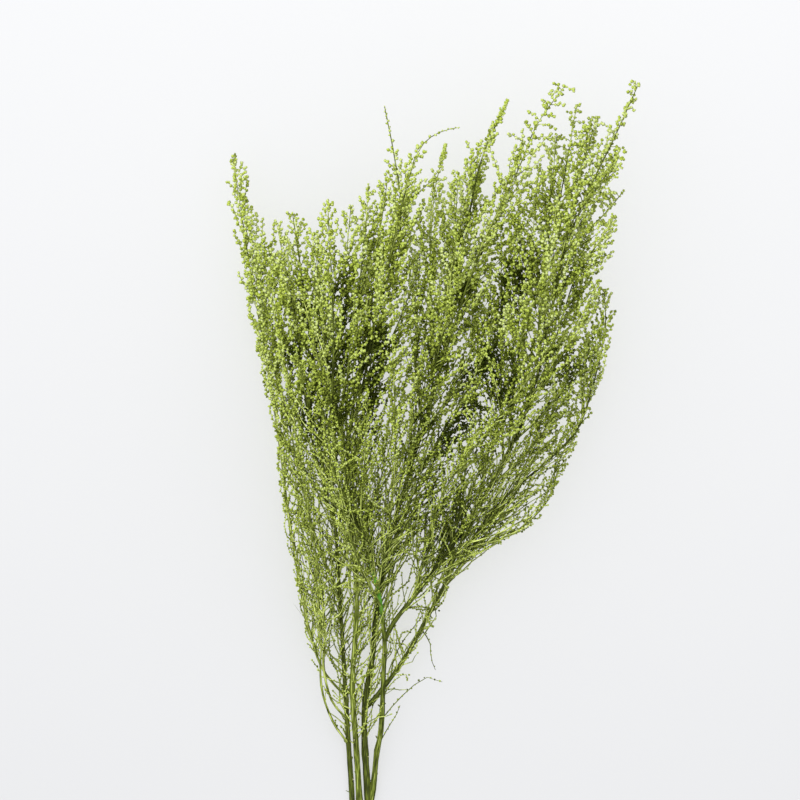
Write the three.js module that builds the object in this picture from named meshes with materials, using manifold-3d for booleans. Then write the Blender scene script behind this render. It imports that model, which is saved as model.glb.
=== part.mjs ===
// Dried hill flower: a loose bunch of three cut, woody, much-branched stems, laid down on a surface.
// Long sprays of small bead-like flower heads grow from the stems and make one wide fan.
// Millimetres: +X across the fan, +Y from the cut ends to the tips, +Z up from the surface.
// The origin lies on the surface, under the middle of the bunch.

import * as THREE from 'three';
import { mergeVertices } from 'three/addons/utils/BufferGeometryUtils.js';
import Module from 'manifold-3d';

const wasm = await Module();
wasm.setup();

// Flower heads: full size from one level upwards, only small buds below another.
// A radius is that of the corners; a three-sided head of 2.3 has the bulk of a round one 4 across.
const HEAD_RADIUS = 2.3;
const BUD_RADIUS = 1.15;
const BUD_LEVEL = -100;
const HEAD_LEVEL = 70;
const HEAD_PITCH = 4.9;
const NECK_RADIUS = 0.5;

// Side twigs that carry the heads; they are shorter towards both ends of a leafy part
const TWIG_SIDES = 3;
const TWIG_PITCH = 40;
const TWIG_OFFSET = 0.35;
const TWIGS_LEAST = 2;
const TWIG_HEADS_MOST = 3.4;
const TWIG_FIRST_SHARE = 0.55;
const TWIG_RISE = 1.5;
const TWIG_LAST_SHARE = 0.35;
const TWIG_FALL = 2.2;
const TWIG_BARE = 5;
const TWIG_ROOT_RADIUS = 0.6;
const TWIG_LEAN = 0.72;
const TWIG_LIFT = 0.35;
const TWIG_SHORTER = [1, 0.75, 0.55];
const TWIG_TURNS = [0, Math.PI, Math.PI / 2, -Math.PI / 2];
const BARE_TWIG_BUDS = 4;
const GOLDEN_ANGLE = Math.PI * (3 - Math.sqrt(5));

// Spray axes: bare wood at the root, then a slim knobbly core that the twigs stand out of
const SPRAY_SIDES = 4;
const SPRAY_RADII = [1.35, 0.55];
const SPRAY_BARE_SHARE = 0.2;
const LEAF_LEVEL = -120;
const WOOD_TAPER = 0.8;
const WOOD_STEP = 34;
const CORE_RADIUS = 2.1;
const CORE_HEAD_SHARE = 0.4;
const CORE_RISE = 6;
const CORE_FALL = 3.5;
const CORE_LAST_SHARE = 0.45;
const KNOB_PITCH = 36;
const KNOBS_LEAST = 3;
const WAIST = 1.15;

// How a spray leaves its stem and bends up to its tip
const LEAVE_SPREAD = 0.6;
const LEAVE_REACH = 0.34;
const ARRIVE_REACH = 0.3;
const ARRIVE_LIFT = 0.45;
const BEND_SHARES = [0.3, 0.65];

// Clear space between neighbours
const SEAT_GAP = 0.3;
const TWIG_GAP = 0.55;
const AXIS_GAP = 3.2;
const ROOT_FREE = 30;
const CELL = 24;
const STATION_STEP = 7;
const ROUTE_STEPS = 12;
const FLOOR_GAP = 0.4;
const REST_SINK = 3;
const WELD = 1e-4;
const SMALLEST_EDGE = 0.02;

// Woody stems: radius at the cut end and at the tip, the level where the leafy part starts, the route.
// A stem with a fork grows out of another one at a level.
const STEM_SIDES = 5;
const STEMS = {
  left: {
    node: 'left_stem', radii: [2.8, 0.8], leafyFrom: 20,
    route: [[-73.6, -344, 2.1], [-74.5, -300, 2], [-77, -262, 4.5], [-80, -213, 9], [-83, -159, 15],
      [-86, -114, 21], [-90, -51, 30], [-101, 30, 38], [-111, 111, 44], [-128, 226, 50]],
  },
  front: {
    node: 'front_stem', radii: [3.2, 0.8], leafyFrom: 60,
    route: [[-67, -344, 2.4], [-67.5, -308, 3], [-71, -249, 14], [-74, -204, 23], [-71.6, -159, 32],
      [-70, -123, 41], [-74, -69, 51], [-79, -15, 58], [-72, 57, 66], [-54, 125, 75],
      [-35, 190, 82], [-30, 230, 82], [-36, 275, 78], [-45, 321, 72]],
  },
  middle: {
    node: 'forked_stem', radii: [3.5, 0.8], leafyFrom: 90,
    route: [[-59.8, -344, 2.6], [-60, -304, 2.4], [-63, -249, 6], [-62, -213, 8], [-56, -177, 12],
      [-51, -123, 18], [-40, -69, 24], [-22, -6, 30], [3, 75, 38], [20, 150, 46],
      [30, 215, 50], [42, 272, 53], [66, 327, 56]],
  },
  inner: {
    node: 'forked_stem', radii: [2.9, 0.8], leafyFrom: 60, fork: ['middle', -322],
    route: [[-55, -292, 5], [-52, -262, 9], [-48, -240, 12], [-46, -195, 22], [-45, -159, 32],
      [-51, -114, 46], [-64, -72, 60], [-79, -34, 74], [-89, -12, 81], [-95, 18, 88],
      [-92, 60, 94], [-91, 130, 98], [-96, 234, 92]],
  },
  right: {
    node: 'forked_stem', radii: [2.2, 0.8], leafyFrom: 70, fork: ['inner', -160],
    route: [[-36, -143, 36], [-22, -125, 38], [-5, -103, 41], [32, -51, 48], [68, 12, 56],
      [90, 70, 62], [104, 130, 66], [117, 190, 70], [139, 246, 72], [161, 291, 70], [184, 342, 66]],
  },
  low: {
    node: 'forked_stem', radii: [2.2, 0.8], leafyFrom: 0, fork: ['middle', -222],
    route: [[-50, -208, 11], [-26, -175, 17], [3, -122, 25], [20, -90, 31], [60, -35, 40],
      [100, 0, 44], [129, 31, 44], [144, 74, 40], [154, 120, 34], [153, 156, 30]],
  },
};

// Dry bare twigs with a few buds, low down on the stems
const BARE_TWIGS = [
  { from: 'inner', at: -232, via: [[-37, -219, 14], [-24, -206, 15], [-8, -194, 18]], tip: [7, -198, 20] },
  { from: 'low', at: -150, via: [[-4, -162, 20], [-3, -176, 20]], tip: [1, -187, 22] },
  { from: 'inner', at: -256, via: [[-41, -238, 16], [-35, -229, 20]], tip: [-31, -219, 23] },
];

// Sprays: the stem and level that each grows from, what it bends through, and its tip.
// A spray that rests comes down to the surface on its way.
const SPRAYS = [
  { from: 'left', at: -212, via: [[-104, -180, 16], [-121, -114, 26], [-132, -42, 30], [-146, 57, 26],
    [-166, 174, 28]], tip: [-182, 277, 34] },
  { from: 'left', at: -232, via: [[-93, -214, 22], [-100, -184, 32], [-99, -150, 42], [-104, -100, 50],
    [-116, -30, 60], [-130, 60, 68]], tip: [-156, 190, 74] },
  { from: 'left', at: -60, via: [[-112, 30, 58], [-124, 120, 72]], tip: [-142, 216, 76] },
  { from: 'left', at: -120, via: [[-110, -60, 13], [-128, 20, 4], [-146, 96, 1.6]],
    tip: [-158, 160, 7], rests: true },
  { from: 'left', at: 60, tip: [-108, 207, 68] },
  { from: 'left', at: -254, via: [[-90, -237, 13], [-100, -212, 21], [-103, -188, 26], [-102, -148, 31],
    [-109, -90, 38], [-121, -40, 48]], tip: [-132, 6, 60] },
  { from: 'left', at: -30, tip: [-124, 104, 114] },
  { from: 'left', at: 20, tip: [-96, 150, 14] },
  { from: 'left', at: 90, tip: [-150, 196, 12] },
  { from: 'inner', at: 40, tip: [-75, 230, 104] },
  { from: 'inner', at: 0, tip: [-120, 158, 130] },
  { from: 'inner', at: -40, tip: [-112, 80, 124] },
  { from: 'inner', at: 20, tip: [-72, 150, 124] },
  { from: 'inner', at: -100, via: [[-66, -50, 84], [-62, 10, 112]], tip: [-60, 66, 128] },
  { from: 'inner', at: -130, via: [[-72, -80, 88], [-86, -20, 114]], tip: [-92, 34, 126] },
  { from: 'inner', at: -114, via: [[-44, -74, 66], [-38, -33, 88], [-35, 12, 106], [-36, 57, 120]],
    tip: [-38, 114, 128] },
  { from: 'front', at: 80, tip: [-59, 249, 62] },
  { from: 'front', at: 130, via: [[-24, 252, 118], [-14, 280, 116], [-5, 291, 114], [8, 298, 112]],
    tip: [22, 301, 110] },
  { from: 'front', at: 30, tip: [-46, 196, 108] },
  { from: 'front', at: -20, tip: [-52, 140, 113] },
  { from: 'front', at: -80, tip: [-30, 60, 96] },
  { from: 'front', at: 6, tip: [-100, 118, 38] },
  { from: 'front', at: 60, tip: [-14, 178, 78] },
  { from: 'front', at: -50, tip: [-70, 78, 30] },
  { from: 'middle', at: 60, via: [[-4, 160, 62], [-1, 236, 84]], tip: [10, 287, 90] },
  { from: 'middle', at: 90, via: [[38, 184, 72], [60, 232, 84], [77, 268, 88], [92, 304, 88]],
    tip: [117, 339, 84] },
  { from: 'middle', at: 150, tip: [66, 243, 26] },
  { from: 'middle', at: 130, tip: [22, 262, 24] },
  { from: 'middle', at: 30, tip: [-12, 206, 50] },
  { from: 'middle', at: 50, tip: [22, 214, 112] },
  { from: 'middle', at: -10, tip: [14, 150, 100] },
  { from: 'middle', at: -50, tip: [-8, 100, 88] },
  { from: 'middle', at: 20, tip: [50, 140, 14] },
  { from: 'middle', at: -30, tip: [34, 76, 98] },
  { from: 'middle', at: -90, tip: [-4, 20, 92] },
  { from: 'right', at: 230, tip: [166, 281, 90] },
  { from: 'right', at: 190, tip: [171, 246, 52] },
  { from: 'right', at: 150, tip: [162, 222, 98] },
  { from: 'right', at: 110, tip: [128, 322, 56] },
  { from: 'right', at: 130, tip: [139, 303, 98] },
  { from: 'right', at: 50, tip: [92, 244, 62] },
  { from: 'right', at: 80, tip: [110, 236, 106] },
  { from: 'right', at: 40, via: [[104, 96, 20], [122, 152, 1.6]], tip: [138, 204, 8], rests: true },
  { from: 'right', at: 10, tip: [86, 172, 108] },
  { from: 'right', at: 0, tip: [60, 200, 60] },
  { from: 'right', at: 60, tip: [146, 164, 90] },
  { from: 'right', at: -40, tip: [76, 108, 102] },
  { from: 'right', at: 20, tip: [138, 104, 84] },
  { from: 'right', at: -120, via: [[5, -33, 82], [41, 21, 106], [77, 66, 122]], tip: [112, 118, 126] },
  { from: 'right', at: -80, tip: [54, 34, 97] },
  { from: 'right', at: -20, tip: [108, 44, 82] },
  { from: 'low', at: -95, via: [[31, -76, 38], [58, -69, 42], [80, -57, 42], [102, -34, 40]],
    tip: [113, 0, 36] },
  { from: 'low', at: -60, via: [[66, -34, 8], [88, 12, 1.4]], tip: [104, 60, 6], rests: true },
  { from: 'low', at: -110, tip: [44, -20, 72] },
  { from: 'low', at: 40, tip: [138, 116, 56] },
];

const WOOD_COLOUR = new THREE.Color(0.24, 0.3, 0.08);
const SPRAY_COLOUR = new THREE.Color(0.3, 0.38, 0.1);
const WOOD_ROUGHNESS = 0.75;
const SPRAY_ROUGHNESS = 0.9;

function clamp01(value) {
  return Math.min(1, Math.max(0, value));
}

function vector([x, y, z]) {
  return new THREE.Vector3(x, y, z);
}

// A smooth route through points, with its length and an untwisted frame at every station
class Route {
  constructor(points) {
    const curve = new THREE.CatmullRomCurve3(points, false, 'catmullrom', 0.5);
    this.points = curve.getPoints(points.length * ROUTE_STEPS);
    this.lengths = [0];
    for (let i = 1; i < this.points.length; i += 1) {
      this.lengths.push(this.lengths[i - 1] + this.points[i].distanceTo(this.points[i - 1]));
    }
    this.length = this.lengths.at(-1);
    this.layFrames();
  }

  layFrames() {
    this.tangents = this.points.map((point, i) => {
      const before = this.points[Math.max(0, i - 1)];
      const after = this.points[Math.min(this.points.length - 1, i + 1)];
      return after.clone().sub(before).normalize();
    });
    let side = new THREE.Vector3(0, 0, 1).cross(this.tangents[0]).normalize();
    this.sides = this.tangents.map((tangent) => {
      side = side.clone().addScaledVector(tangent, -side.dot(tangent)).normalize();
      return side;
    });
  }

  // The point, direction and two square directions at a length along the route
  at(length) {
    const last = this.points.length - 1;
    let i = 1;
    while (i < last && this.lengths[i] < length) {
      i += 1;
    }
    const share = clamp01((length - this.lengths[i - 1]) / (this.lengths[i] - this.lengths[i - 1]));
    const point = this.points[i - 1].clone().lerp(this.points[i], share);
    const tangent = this.tangents[i - 1].clone().lerp(this.tangents[i], share).normalize();
    const side = this.sides[i - 1].clone().lerp(this.sides[i], share);
    side.addScaledVector(tangent, -side.dot(tangent)).normalize();
    return { point, tangent, side, up: tangent.clone().cross(side) };
  }

  // The length at which the route first passes a level on Y
  lengthAtLevel(level) {
    const i = this.points.findIndex((point) => point.y >= level);
    if (i <= 0) {
      return i < 0 ? this.length : 0;
    }
    const share = (level - this.points[i - 1].y) / (this.points[i].y - this.points[i - 1].y);
    return this.lengths[i - 1] + share * (this.lengths[i] - this.lengths[i - 1]);
  }
}

// A closed body of turned shape, bent along a route; the outline is pairs of length and radius
function turnedAlong(route, outline, sides) {
  const points = outline.map(([length, radius]) => new THREE.Vector2(radius, length));
  const geometry = new THREE.LatheGeometry(points, sides);
  const position = geometry.getAttribute('position');
  for (let i = 0; i < position.count; i += 1) {
    const place = route.at(position.getY(i));
    const point = place.point;
    point.addScaledVector(place.side, position.getX(i));
    point.addScaledVector(place.up, position.getZ(i));
    position.setXYZ(i, point.x, point.y, point.z);
  }
  return solidFrom(geometry);
}

// A geometry's shared vertices are merged and its poles closed before it becomes a solid
function solidFrom(geometry) {
  geometry.deleteAttribute('normal');
  geometry.deleteAttribute('uv');
  const merged = mergeVertices(geometry, WELD);
  const index = merged.getIndex().array;
  const corners = [];
  for (let i = 0; i < index.length; i += 3) {
    const [a, b, c] = [index[i], index[i + 1], index[i + 2]];
    if (a !== b && b !== c && c !== a) {
      corners.push(a, c, b);
    }
  }
  return new wasm.Manifold(new wasm.Mesh({
    numProp: 3,
    vertProperties: new Float32Array(merged.getAttribute('position').array),
    triVerts: new Uint32Array(corners),
  }));
}

// The largest body of a solid, without the loose scraps that a cut leaves
function largestBody(solid) {
  const bodies = solid.decompose();
  return bodies.reduce((best, body) => (body.volume() > best.volume() ? body : best));
}

// Shortest distance between two straight pieces, a to b and c to d
function pieceDistance(a, b, c, d) {
  const u = b.clone().sub(a);
  const v = d.clone().sub(c);
  const w = a.clone().sub(c);
  const uu = u.dot(u);
  const uv = u.dot(v);
  const vv = v.dot(v);
  const uw = u.dot(w);
  const vw = v.dot(w);
  const spread = uu * vv - uv * uv;
  let s = spread > 1e-9 ? clamp01((uv * vw - vv * uw) / spread) : 0;
  const t = clamp01((uv * s + vw) / Math.max(vv, 1e-9));
  s = clamp01((uv * t - uw) / Math.max(uu, 1e-9));
  return a.clone().addScaledVector(u, s).distanceTo(c.clone().addScaledVector(v, t));
}

// Round-ended pieces of every axis and twig laid so far, found again by place
class Room {
  constructor() {
    this.cells = new Map();
  }

  keysOf({ a, b, radius }, margin) {
    const keys = [];
    const reach = radius + margin;
    const from = a.clone().min(b).subScalar(reach).divideScalar(CELL).floor();
    const to = a.clone().max(b).addScalar(reach).divideScalar(CELL).floor();
    for (let x = from.x; x <= to.x; x += 1) {
      for (let y = from.y; y <= to.y; y += 1) {
        for (let z = from.z; z <= to.z; z += 1) {
          keys.push(`${x},${y},${z}`);
        }
      }
    }
    return keys;
  }

  add(pieces) {
    for (const piece of pieces) {
      for (const key of this.keysOf(piece, 0)) {
        if (!this.cells.has(key)) {
          this.cells.set(key, []);
        }
        this.cells.get(key).push(piece);
      }
    }
  }

  isClear(pieces, floorGap) {
    return pieces.every((piece) => this.pieceIsClear(piece, floorGap));
  }

  pieceIsClear(piece, floorGap) {
    if (Math.min(piece.a.z, piece.b.z) - piece.radius < floorGap) {
      return false;
    }
    for (const key of this.keysOf(piece, piece.gap)) {
      for (const other of this.cells.get(key) ?? []) {
        if (other.node !== piece.node && !this.isOwnRoot(piece, other)) {
          const distance = pieceDistance(piece.a, piece.b, other.a, other.b);
          if (distance < piece.radius + other.radius + piece.gap) {
            return false;
          }
        }
      }
    }
    return true;
  }

  isOwnRoot(piece, other) {
    return piece.rootOf === other.node && !other.isTwig;
  }
}

// Round-ended pieces along a route; those near the root may touch what it grows from
function piecesAlong(route, radiusAt, node, parent) {
  const count = Math.max(2, Math.round(route.length / STATION_STEP));
  const pieces = [];
  for (let i = 0; i < count; i += 1) {
    const start = (route.length * i) / count;
    const end = (route.length * (i + 1)) / count;
    const isRoot = start < ROOT_FREE;
    pieces.push({
      a: route.at(start).point,
      b: route.at(end).point,
      radius: Math.max(radiusAt(start), radiusAt(end), radiusAt((start + end) / 2)),
      node,
      gap: isRoot ? TWIG_GAP : AXIS_GAP,
      rootOf: isRoot ? parent : undefined,
    });
  }
  return pieces;
}

// An axis knows its wood, where its leafy part starts, and how wide its core is there
class Axis {
  constructor(node, points, radii, leafyLevel, bareShare) {
    this.node = node;
    this.route = new Route(points);
    this.radii = radii;
    this.leafyStart = Math.max(this.route.length * bareShare, this.route.lengthAtLevel(leafyLevel));
  }

  woodRadius(length) {
    const share = clamp01(length / this.route.length);
    return this.radii[0] + (this.radii[1] - this.radii[0]) * share ** WOOD_TAPER;
  }

  // 0 at the start of the leafy part, 1 at the tip
  leafShare(length) {
    return clamp01((length - this.leafyStart) / (this.route.length - this.leafyStart));
  }

  coreRadius(length) {
    if (length < this.leafyStart) {
      return this.woodRadius(length);
    }
    const share = this.leafShare(length);
    const swell = Math.min(1, share * CORE_RISE) * Math.min(1, (1 - share) * CORE_FALL + CORE_LAST_SHARE);
    const size = headSize(this.route.at(length).point.y);
    const core = size * (HEAD_RADIUS * CORE_HEAD_SHARE + CORE_RADIUS * swell);
    return Math.max(this.woodRadius(length), core);
  }

  // Plain wood in a few steps, then one knob after another up to a pointed tip
  outline(extra) {
    const steps = Math.max(1, Math.round(this.leafyStart / WOOD_STEP));
    const outline = [[0, 0]];
    for (let i = 0; i <= steps; i += 1) {
      const length = (this.leafyStart * i) / steps;
      outline.push([length, this.woodRadius(length) + extra]);
    }
    const leafy = this.route.length - this.leafyStart;
    const knobs = Math.max(KNOBS_LEAST, Math.round(leafy / KNOB_PITCH));
    for (let k = 0; k < knobs; k += 1) {
      const start = this.leafyStart + (leafy * k) / knobs;
      const middle = start + (leafy * 0.5) / knobs;
      if (k > 0) {
        outline.push([start, this.woodRadius(start) * WAIST + extra]);
      }
      outline.push([middle, this.coreRadius(middle) + extra]);
    }
    outline.push([this.route.length, 0]);
    return outline;
  }
}

// Share of the full head size at a level on Y
function headSize(level) {
  return BUD_RADIUS / HEAD_RADIUS
    + (1 - BUD_RADIUS / HEAD_RADIUS) * clamp01((level - BUD_LEVEL) / (HEAD_LEVEL - BUD_LEVEL));
}

// The two inner points of a spray that leaves its stem at a slant and bends up to its tip
function bend(root, tangent, tip) {
  const span = tip.clone().sub(root);
  const reach = span.length();
  const across = span.clone().addScaledVector(tangent, -span.dot(tangent)).normalize();
  const leave = tangent.clone().addScaledVector(across, LEAVE_SPREAD).normalize();
  const arrive = span.clone().normalize().add(new THREE.Vector3(0, ARRIVE_LIFT, 0)).normalize();
  const handles = new THREE.CubicBezierCurve3(
    root,
    root.clone().addScaledVector(leave, reach * LEAVE_REACH),
    tip.clone().addScaledVector(arrive, -reach * ARRIVE_REACH),
    tip,
  );
  return BEND_SHARES.map((share) => handles.getPoint(share));
}

function makeStems(room) {
  const axes = {};
  for (const [name, stem] of Object.entries(STEMS)) {
    const points = stem.route.map(vector);
    if (stem.fork) {
      const [parent, level] = stem.fork;
      const route = axes[parent].route;
      points.unshift(route.at(route.lengthAtLevel(level)).point);
    }
    const axis = new Axis(stem.node, points, stem.radii, stem.leafyFrom, 0);
    axes[name] = axis;
    room.add(piecesAlong(axis.route, (length) => axis.coreRadius(length), axis.node));
  }
  return axes;
}

// A spray grows from its stem at a level, clear of every stem and spray that is already there
function makeSpray(row, name, stem, room) {
  const place = stem.route.at(stem.route.lengthAtLevel(row.at));
  const tip = vector(row.tip);
  const between = row.via ? row.via.map(vector) : bend(place.point, place.tangent, tip);
  const axis = new Axis(name, [place.point, ...between, tip], SPRAY_RADII, LEAF_LEVEL, SPRAY_BARE_SHARE);
  axis.parent = stem.node;
  const pieces = piecesAlong(axis.route, (length) => axis.coreRadius(length), name, stem.node);
  if (!room.isClear(pieces, row.rests ? -REST_SINK : FLOOR_GAP)) {
    throw new Error(`${name} meets another stem or spray`);
  }
  room.add(pieces);
  return axis;
}

// A twig of a given number of heads that leans out of its axis and bends towards the tip
function twigRoute(place, turn, reach) {
  const out = place.side.clone().multiplyScalar(Math.cos(turn)).addScaledVector(place.up, Math.sin(turn));
  const lean = place.tangent.clone().multiplyScalar(Math.cos(TWIG_LEAN))
    .addScaledVector(out, Math.sin(TWIG_LEAN));
  const middle = place.point.clone().addScaledVector(lean, reach * 0.5);
  const tip = middle.clone().addScaledVector(lean, reach * 0.5 * (1 - TWIG_LIFT))
    .addScaledVector(place.tangent, reach * 0.5 * TWIG_LIFT);
  return new Route([place.point, middle, tip]);
}

// A thin bare start, then one head after another
function twigOutline(route, heads, radius) {
  const outline = [[0, 0], [0, TWIG_ROOT_RADIUS]];
  const pitch = (route.length - TWIG_BARE) / heads;
  for (let k = 0; k < heads; k += 1) {
    const start = TWIG_BARE + pitch * k;
    outline.push([start, NECK_RADIUS]);
    outline.push([start + pitch * 0.5, radius]);
  }
  outline.push([route.length, 0]);
  return outline;
}

// Twigs turn round the axis by the golden angle; one that meets a neighbour turns on or gets shorter
function makeTwigs(axis, room, start) {
  const leafy = axis.route.length - axis.leafyStart;
  const count = Math.max(TWIGS_LEAST, Math.round(leafy / TWIG_PITCH));
  const twigs = [];
  for (let k = 0; k < count; k += 1) {
    const length = axis.leafyStart + (leafy * (k + TWIG_OFFSET)) / count;
    const place = axis.route.at(length);
    const share = axis.leafShare(length);
    const rise = TWIG_FIRST_SHARE + share * TWIG_RISE;
    const fall = TWIG_LAST_SHARE + (1 - share) * TWIG_FALL;
    const most = TWIG_HEADS_MOST * Math.min(1, rise, fall);
    const twig = findTwig(axis.node, room, place, start + k * GOLDEN_ANGLE, most);
    if (twig) {
      twigs.push(twig);
    }
  }
  return twigs;
}

function findTwig(node, room, place, turn, most) {
  const radius = headSize(place.point.y) * HEAD_RADIUS;
  for (const shorter of TWIG_SHORTER) {
    const heads = Math.max(1, Math.round(most * shorter));
    const reach = TWIG_BARE + heads * HEAD_PITCH;
    for (const extra of TWIG_TURNS) {
      const route = twigRoute(place, turn + extra, reach);
      const pieces = piecesAlong(route, () => radius, node).map((piece) => ({ ...piece, isTwig: true }));
      if (room.isClear(pieces, FLOOR_GAP)) {
        room.add(pieces);
        return turnedAlong(route, twigOutline(route, heads, radius), TWIG_SIDES);
      }
    }
  }
  return undefined;
}

// A dry twig with small buds, grown out of its stem's axis
function makeBareTwig({ from, at, via, tip }, stems, room) {
  const stem = stems[from];
  const root = stem.route.at(stem.route.lengthAtLevel(at)).point;
  const route = new Route([root, ...via.map(vector), vector(tip)]);
  room.add(piecesAlong(route, () => BUD_RADIUS, stem.node));
  const outline = twigOutline(route, BARE_TWIG_BUDS, BUD_RADIUS);
  return { node: stem.node, solid: turnedAlong(route, outline, TWIG_SIDES) };
}

function meshFrom(solid, name, colour, roughness) {
  const { vertProperties, triVerts } = solid.getMesh();
  const geometry = new THREE.BufferGeometry();
  geometry.setAttribute('position', new THREE.BufferAttribute(new Float32Array(vertProperties), 3));
  geometry.setIndex(new THREE.BufferAttribute(new Uint32Array(triVerts), 1));
  geometry.computeVertexNormals();
  const material = new THREE.MeshStandardMaterial({ color: colour, roughness, metalness: 0 });
  const mesh = new THREE.Mesh(geometry, material);
  mesh.name = name;
  return mesh;
}

function aboveSurface(solid) {
  return solid.trimByPlane([0, 0, 1], 0);
}

const room = new Room();
const stems = makeStems(room);
const bareTwigs = BARE_TWIGS.map((row) => makeBareTwig(row, stems, room));
const counts = {};
const sprays = SPRAYS.map((row) => {
  counts[row.from] = (counts[row.from] ?? 0) + 1;
  const name = `${row.from}_spray_${String(counts[row.from]).padStart(2, '0')}`;
  return makeSpray(row, name, stems[row.from], room);
});

const group = new THREE.Group();
const seats = {};
for (const node of new Set(Object.values(stems).map((axis) => axis.node))) {
  const own = Object.values(stems).filter((axis) => axis.node === node);
  const wood = own.map((axis) => turnedAlong(axis.route, axis.outline(0), STEM_SIDES));
  const bare = bareTwigs.filter((twig) => twig.node === node).map((twig) => twig.solid);
  const twigs = own.flatMap((axis, i) => makeTwigs(axis, room, i));
  const wide = own.map((axis) => turnedAlong(axis.route, axis.outline(SEAT_GAP), STEM_SIDES));
  seats[node] = wasm.Manifold.union(wide);
  const solid = aboveSurface(wasm.Manifold.union([...wood, ...bare, ...twigs]));
  group.add(meshFrom(largestBody(solid.simplify(SMALLEST_EDGE)), node, WOOD_COLOUR, WOOD_ROUGHNESS));
}
sprays.forEach((axis, i) => {
  const core = turnedAlong(axis.route, axis.outline(0), SPRAY_SIDES);
  const grown = wasm.Manifold.union([core, ...makeTwigs(axis, room, i)]);
  const seated = aboveSurface(grown.subtract(seats[axis.parent]));
  const solid = largestBody(seated.simplify(SMALLEST_EDGE));
  group.add(meshFrom(solid, axis.node, SPRAY_COLOUR, SPRAY_ROUGHNESS));
});

export default group;
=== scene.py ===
"""A loose bunch of dried hill flower, laid down: woody stems, leafy sprays and bead-like heads.

Lengths are millimetres in the part's own frame until a mesh is written in metres: +X across the
fan, +Y from the cut ends to the tips, +Z up from the surface that the bunch lies on.
"""

import logging
import math
import random
from dataclasses import dataclass
from enum import Enum

import bmesh
import bpy
import numpy as np
from mathutils import Matrix, Vector
from mathutils.geometry import interpolate_bezier


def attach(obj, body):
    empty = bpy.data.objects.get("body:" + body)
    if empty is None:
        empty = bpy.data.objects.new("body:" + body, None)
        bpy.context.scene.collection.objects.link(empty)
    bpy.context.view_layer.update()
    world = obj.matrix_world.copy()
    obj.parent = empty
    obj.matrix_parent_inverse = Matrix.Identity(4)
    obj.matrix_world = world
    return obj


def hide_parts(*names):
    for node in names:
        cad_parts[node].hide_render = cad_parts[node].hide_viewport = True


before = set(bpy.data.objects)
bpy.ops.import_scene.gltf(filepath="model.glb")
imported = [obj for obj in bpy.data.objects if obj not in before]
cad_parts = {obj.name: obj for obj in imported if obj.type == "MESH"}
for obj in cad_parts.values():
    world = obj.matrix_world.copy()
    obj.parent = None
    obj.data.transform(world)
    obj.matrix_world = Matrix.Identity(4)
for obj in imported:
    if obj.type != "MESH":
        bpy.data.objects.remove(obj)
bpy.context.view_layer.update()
BODY = "root"
METRES = 0.001
SEED = 731

# How wood thins from its foot to its tip, and how finely a route is drawn
STEM_TIP_RADIUS = 0.4
SPRAY_RADII = (1.25, 0.3)
BOUGH_RADII = (0.8, 0.3)
BOUGH_BARE_SHARE = 0.12
WOOD_TAPER = 0.8
ROUTE_STEPS = 13

# Where a spray's flowers begin: at a level on Y, or past a share of its length
LEAF_LEVEL = -120.0
SPRAY_BARE_SHARE = 0.2

# Flower heads are full size above one level on Y and small buds below another
HEAD_RADIUS = 1.68
BUD_SHARE = 0.58
BUD_LEVEL = -70.0
HEAD_LEVEL = 150.0
SMALLEST_HEAD = 1.08
HEAD_FORMS = 3

# How a spray leaves its stem and bends up to its tip
LEAVE_SPREAD = 0.6
LEAVE_REACH = 0.34
ARRIVE_REACH = 0.3
ARRIVE_LIFT = 0.45
BEND_SHARES = (0.3, 0.65)

# How much painted shade darkens the colour of growth deep inside the bunch
INNER_PAINTED_SHADE = 0.8

# The values of a soft noise that a mottled surface spreads out from dark to pale
MOTTLE_SPAN = (0.36, 0.64)

# Nothing comes nearer to the surface than this, or rises above the top
FLOOR_GAP = 0.15
TOP_LEVEL = 139.0

# How wide the fan is at each level on Y: the level, its left edge and its right edge on X
FAN_EDGES = (
    (-344, -76, -50), (-267, -80, -48), (-231, -97, -36), (-195, -108, -20), (-159, -116, -2),
    (-123, -123, 8), (-87, -130, 36), (-51, -137, 97), (-15, -141, 114), (21, -144, 130),
    (57, -151, 147), (93, -160, 156), (147, -172, 166), (201, -183, 165), (237, -188, 168),
    (291, -184, 174), (342, -184, 186),
)
FAN_LEVELS, FAN_LEFTS, FAN_RIGHTS = zip(*FAN_EDGES)

GOLDEN_ANGLE = math.pi * (3.0 - math.sqrt(5.0))

Point = tuple[float, float, float]
Span = tuple[float, float]
Colour = tuple[float, float, float]

log = logging.getLogger("hill_flower")


class Habit(Enum):
    """How the end of a spray or stem is dressed."""

    PLUME = "plume"
    SPIKE = "spike"
    WHIP = "whip"
    LOOSE = "loose"


class Coat(Enum):
    """The material slots of a piece, by index."""

    BARK = 0
    HEAD = 1
    PITH = 2


@dataclass(frozen=True)
class StemRow:
    """A woody stem: its CAD node, foot radius, leafy level, route, fork, habit, shade and fresh stretch.

    A fork is the stem that it leaves and the level there. A fresh stretch is its middle and half length.
    """

    name: str
    node: str
    foot_radius: float
    leafy_level: float
    route: tuple[Point, ...]
    fork: tuple[str, float] | None = None
    habit: Habit = Habit.PLUME
    tone: float = 0.27
    fresh: Span | None = None


@dataclass(frozen=True)
class SprayRow:
    """A spray: the stem and level that it grows from, its tip, what it bends through, its dressing."""

    stem: str
    level: float
    tip: Point
    via: tuple[Point, ...] = ()
    habit: Habit = Habit.PLUME


@dataclass(frozen=True)
class BoughRow:
    """A fine side branch of a spray: the spray and level that it grows from, and its tip."""

    spray: str
    level: float
    tip: Point


@dataclass(frozen=True)
class TwigRow:
    """A dry twig or hair low down: the stem and level that it grows from, and where it passes."""

    stem: str
    level: float
    route: tuple[Point, ...]
    radius: float = 0.7
    has_buds: bool = True


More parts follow.
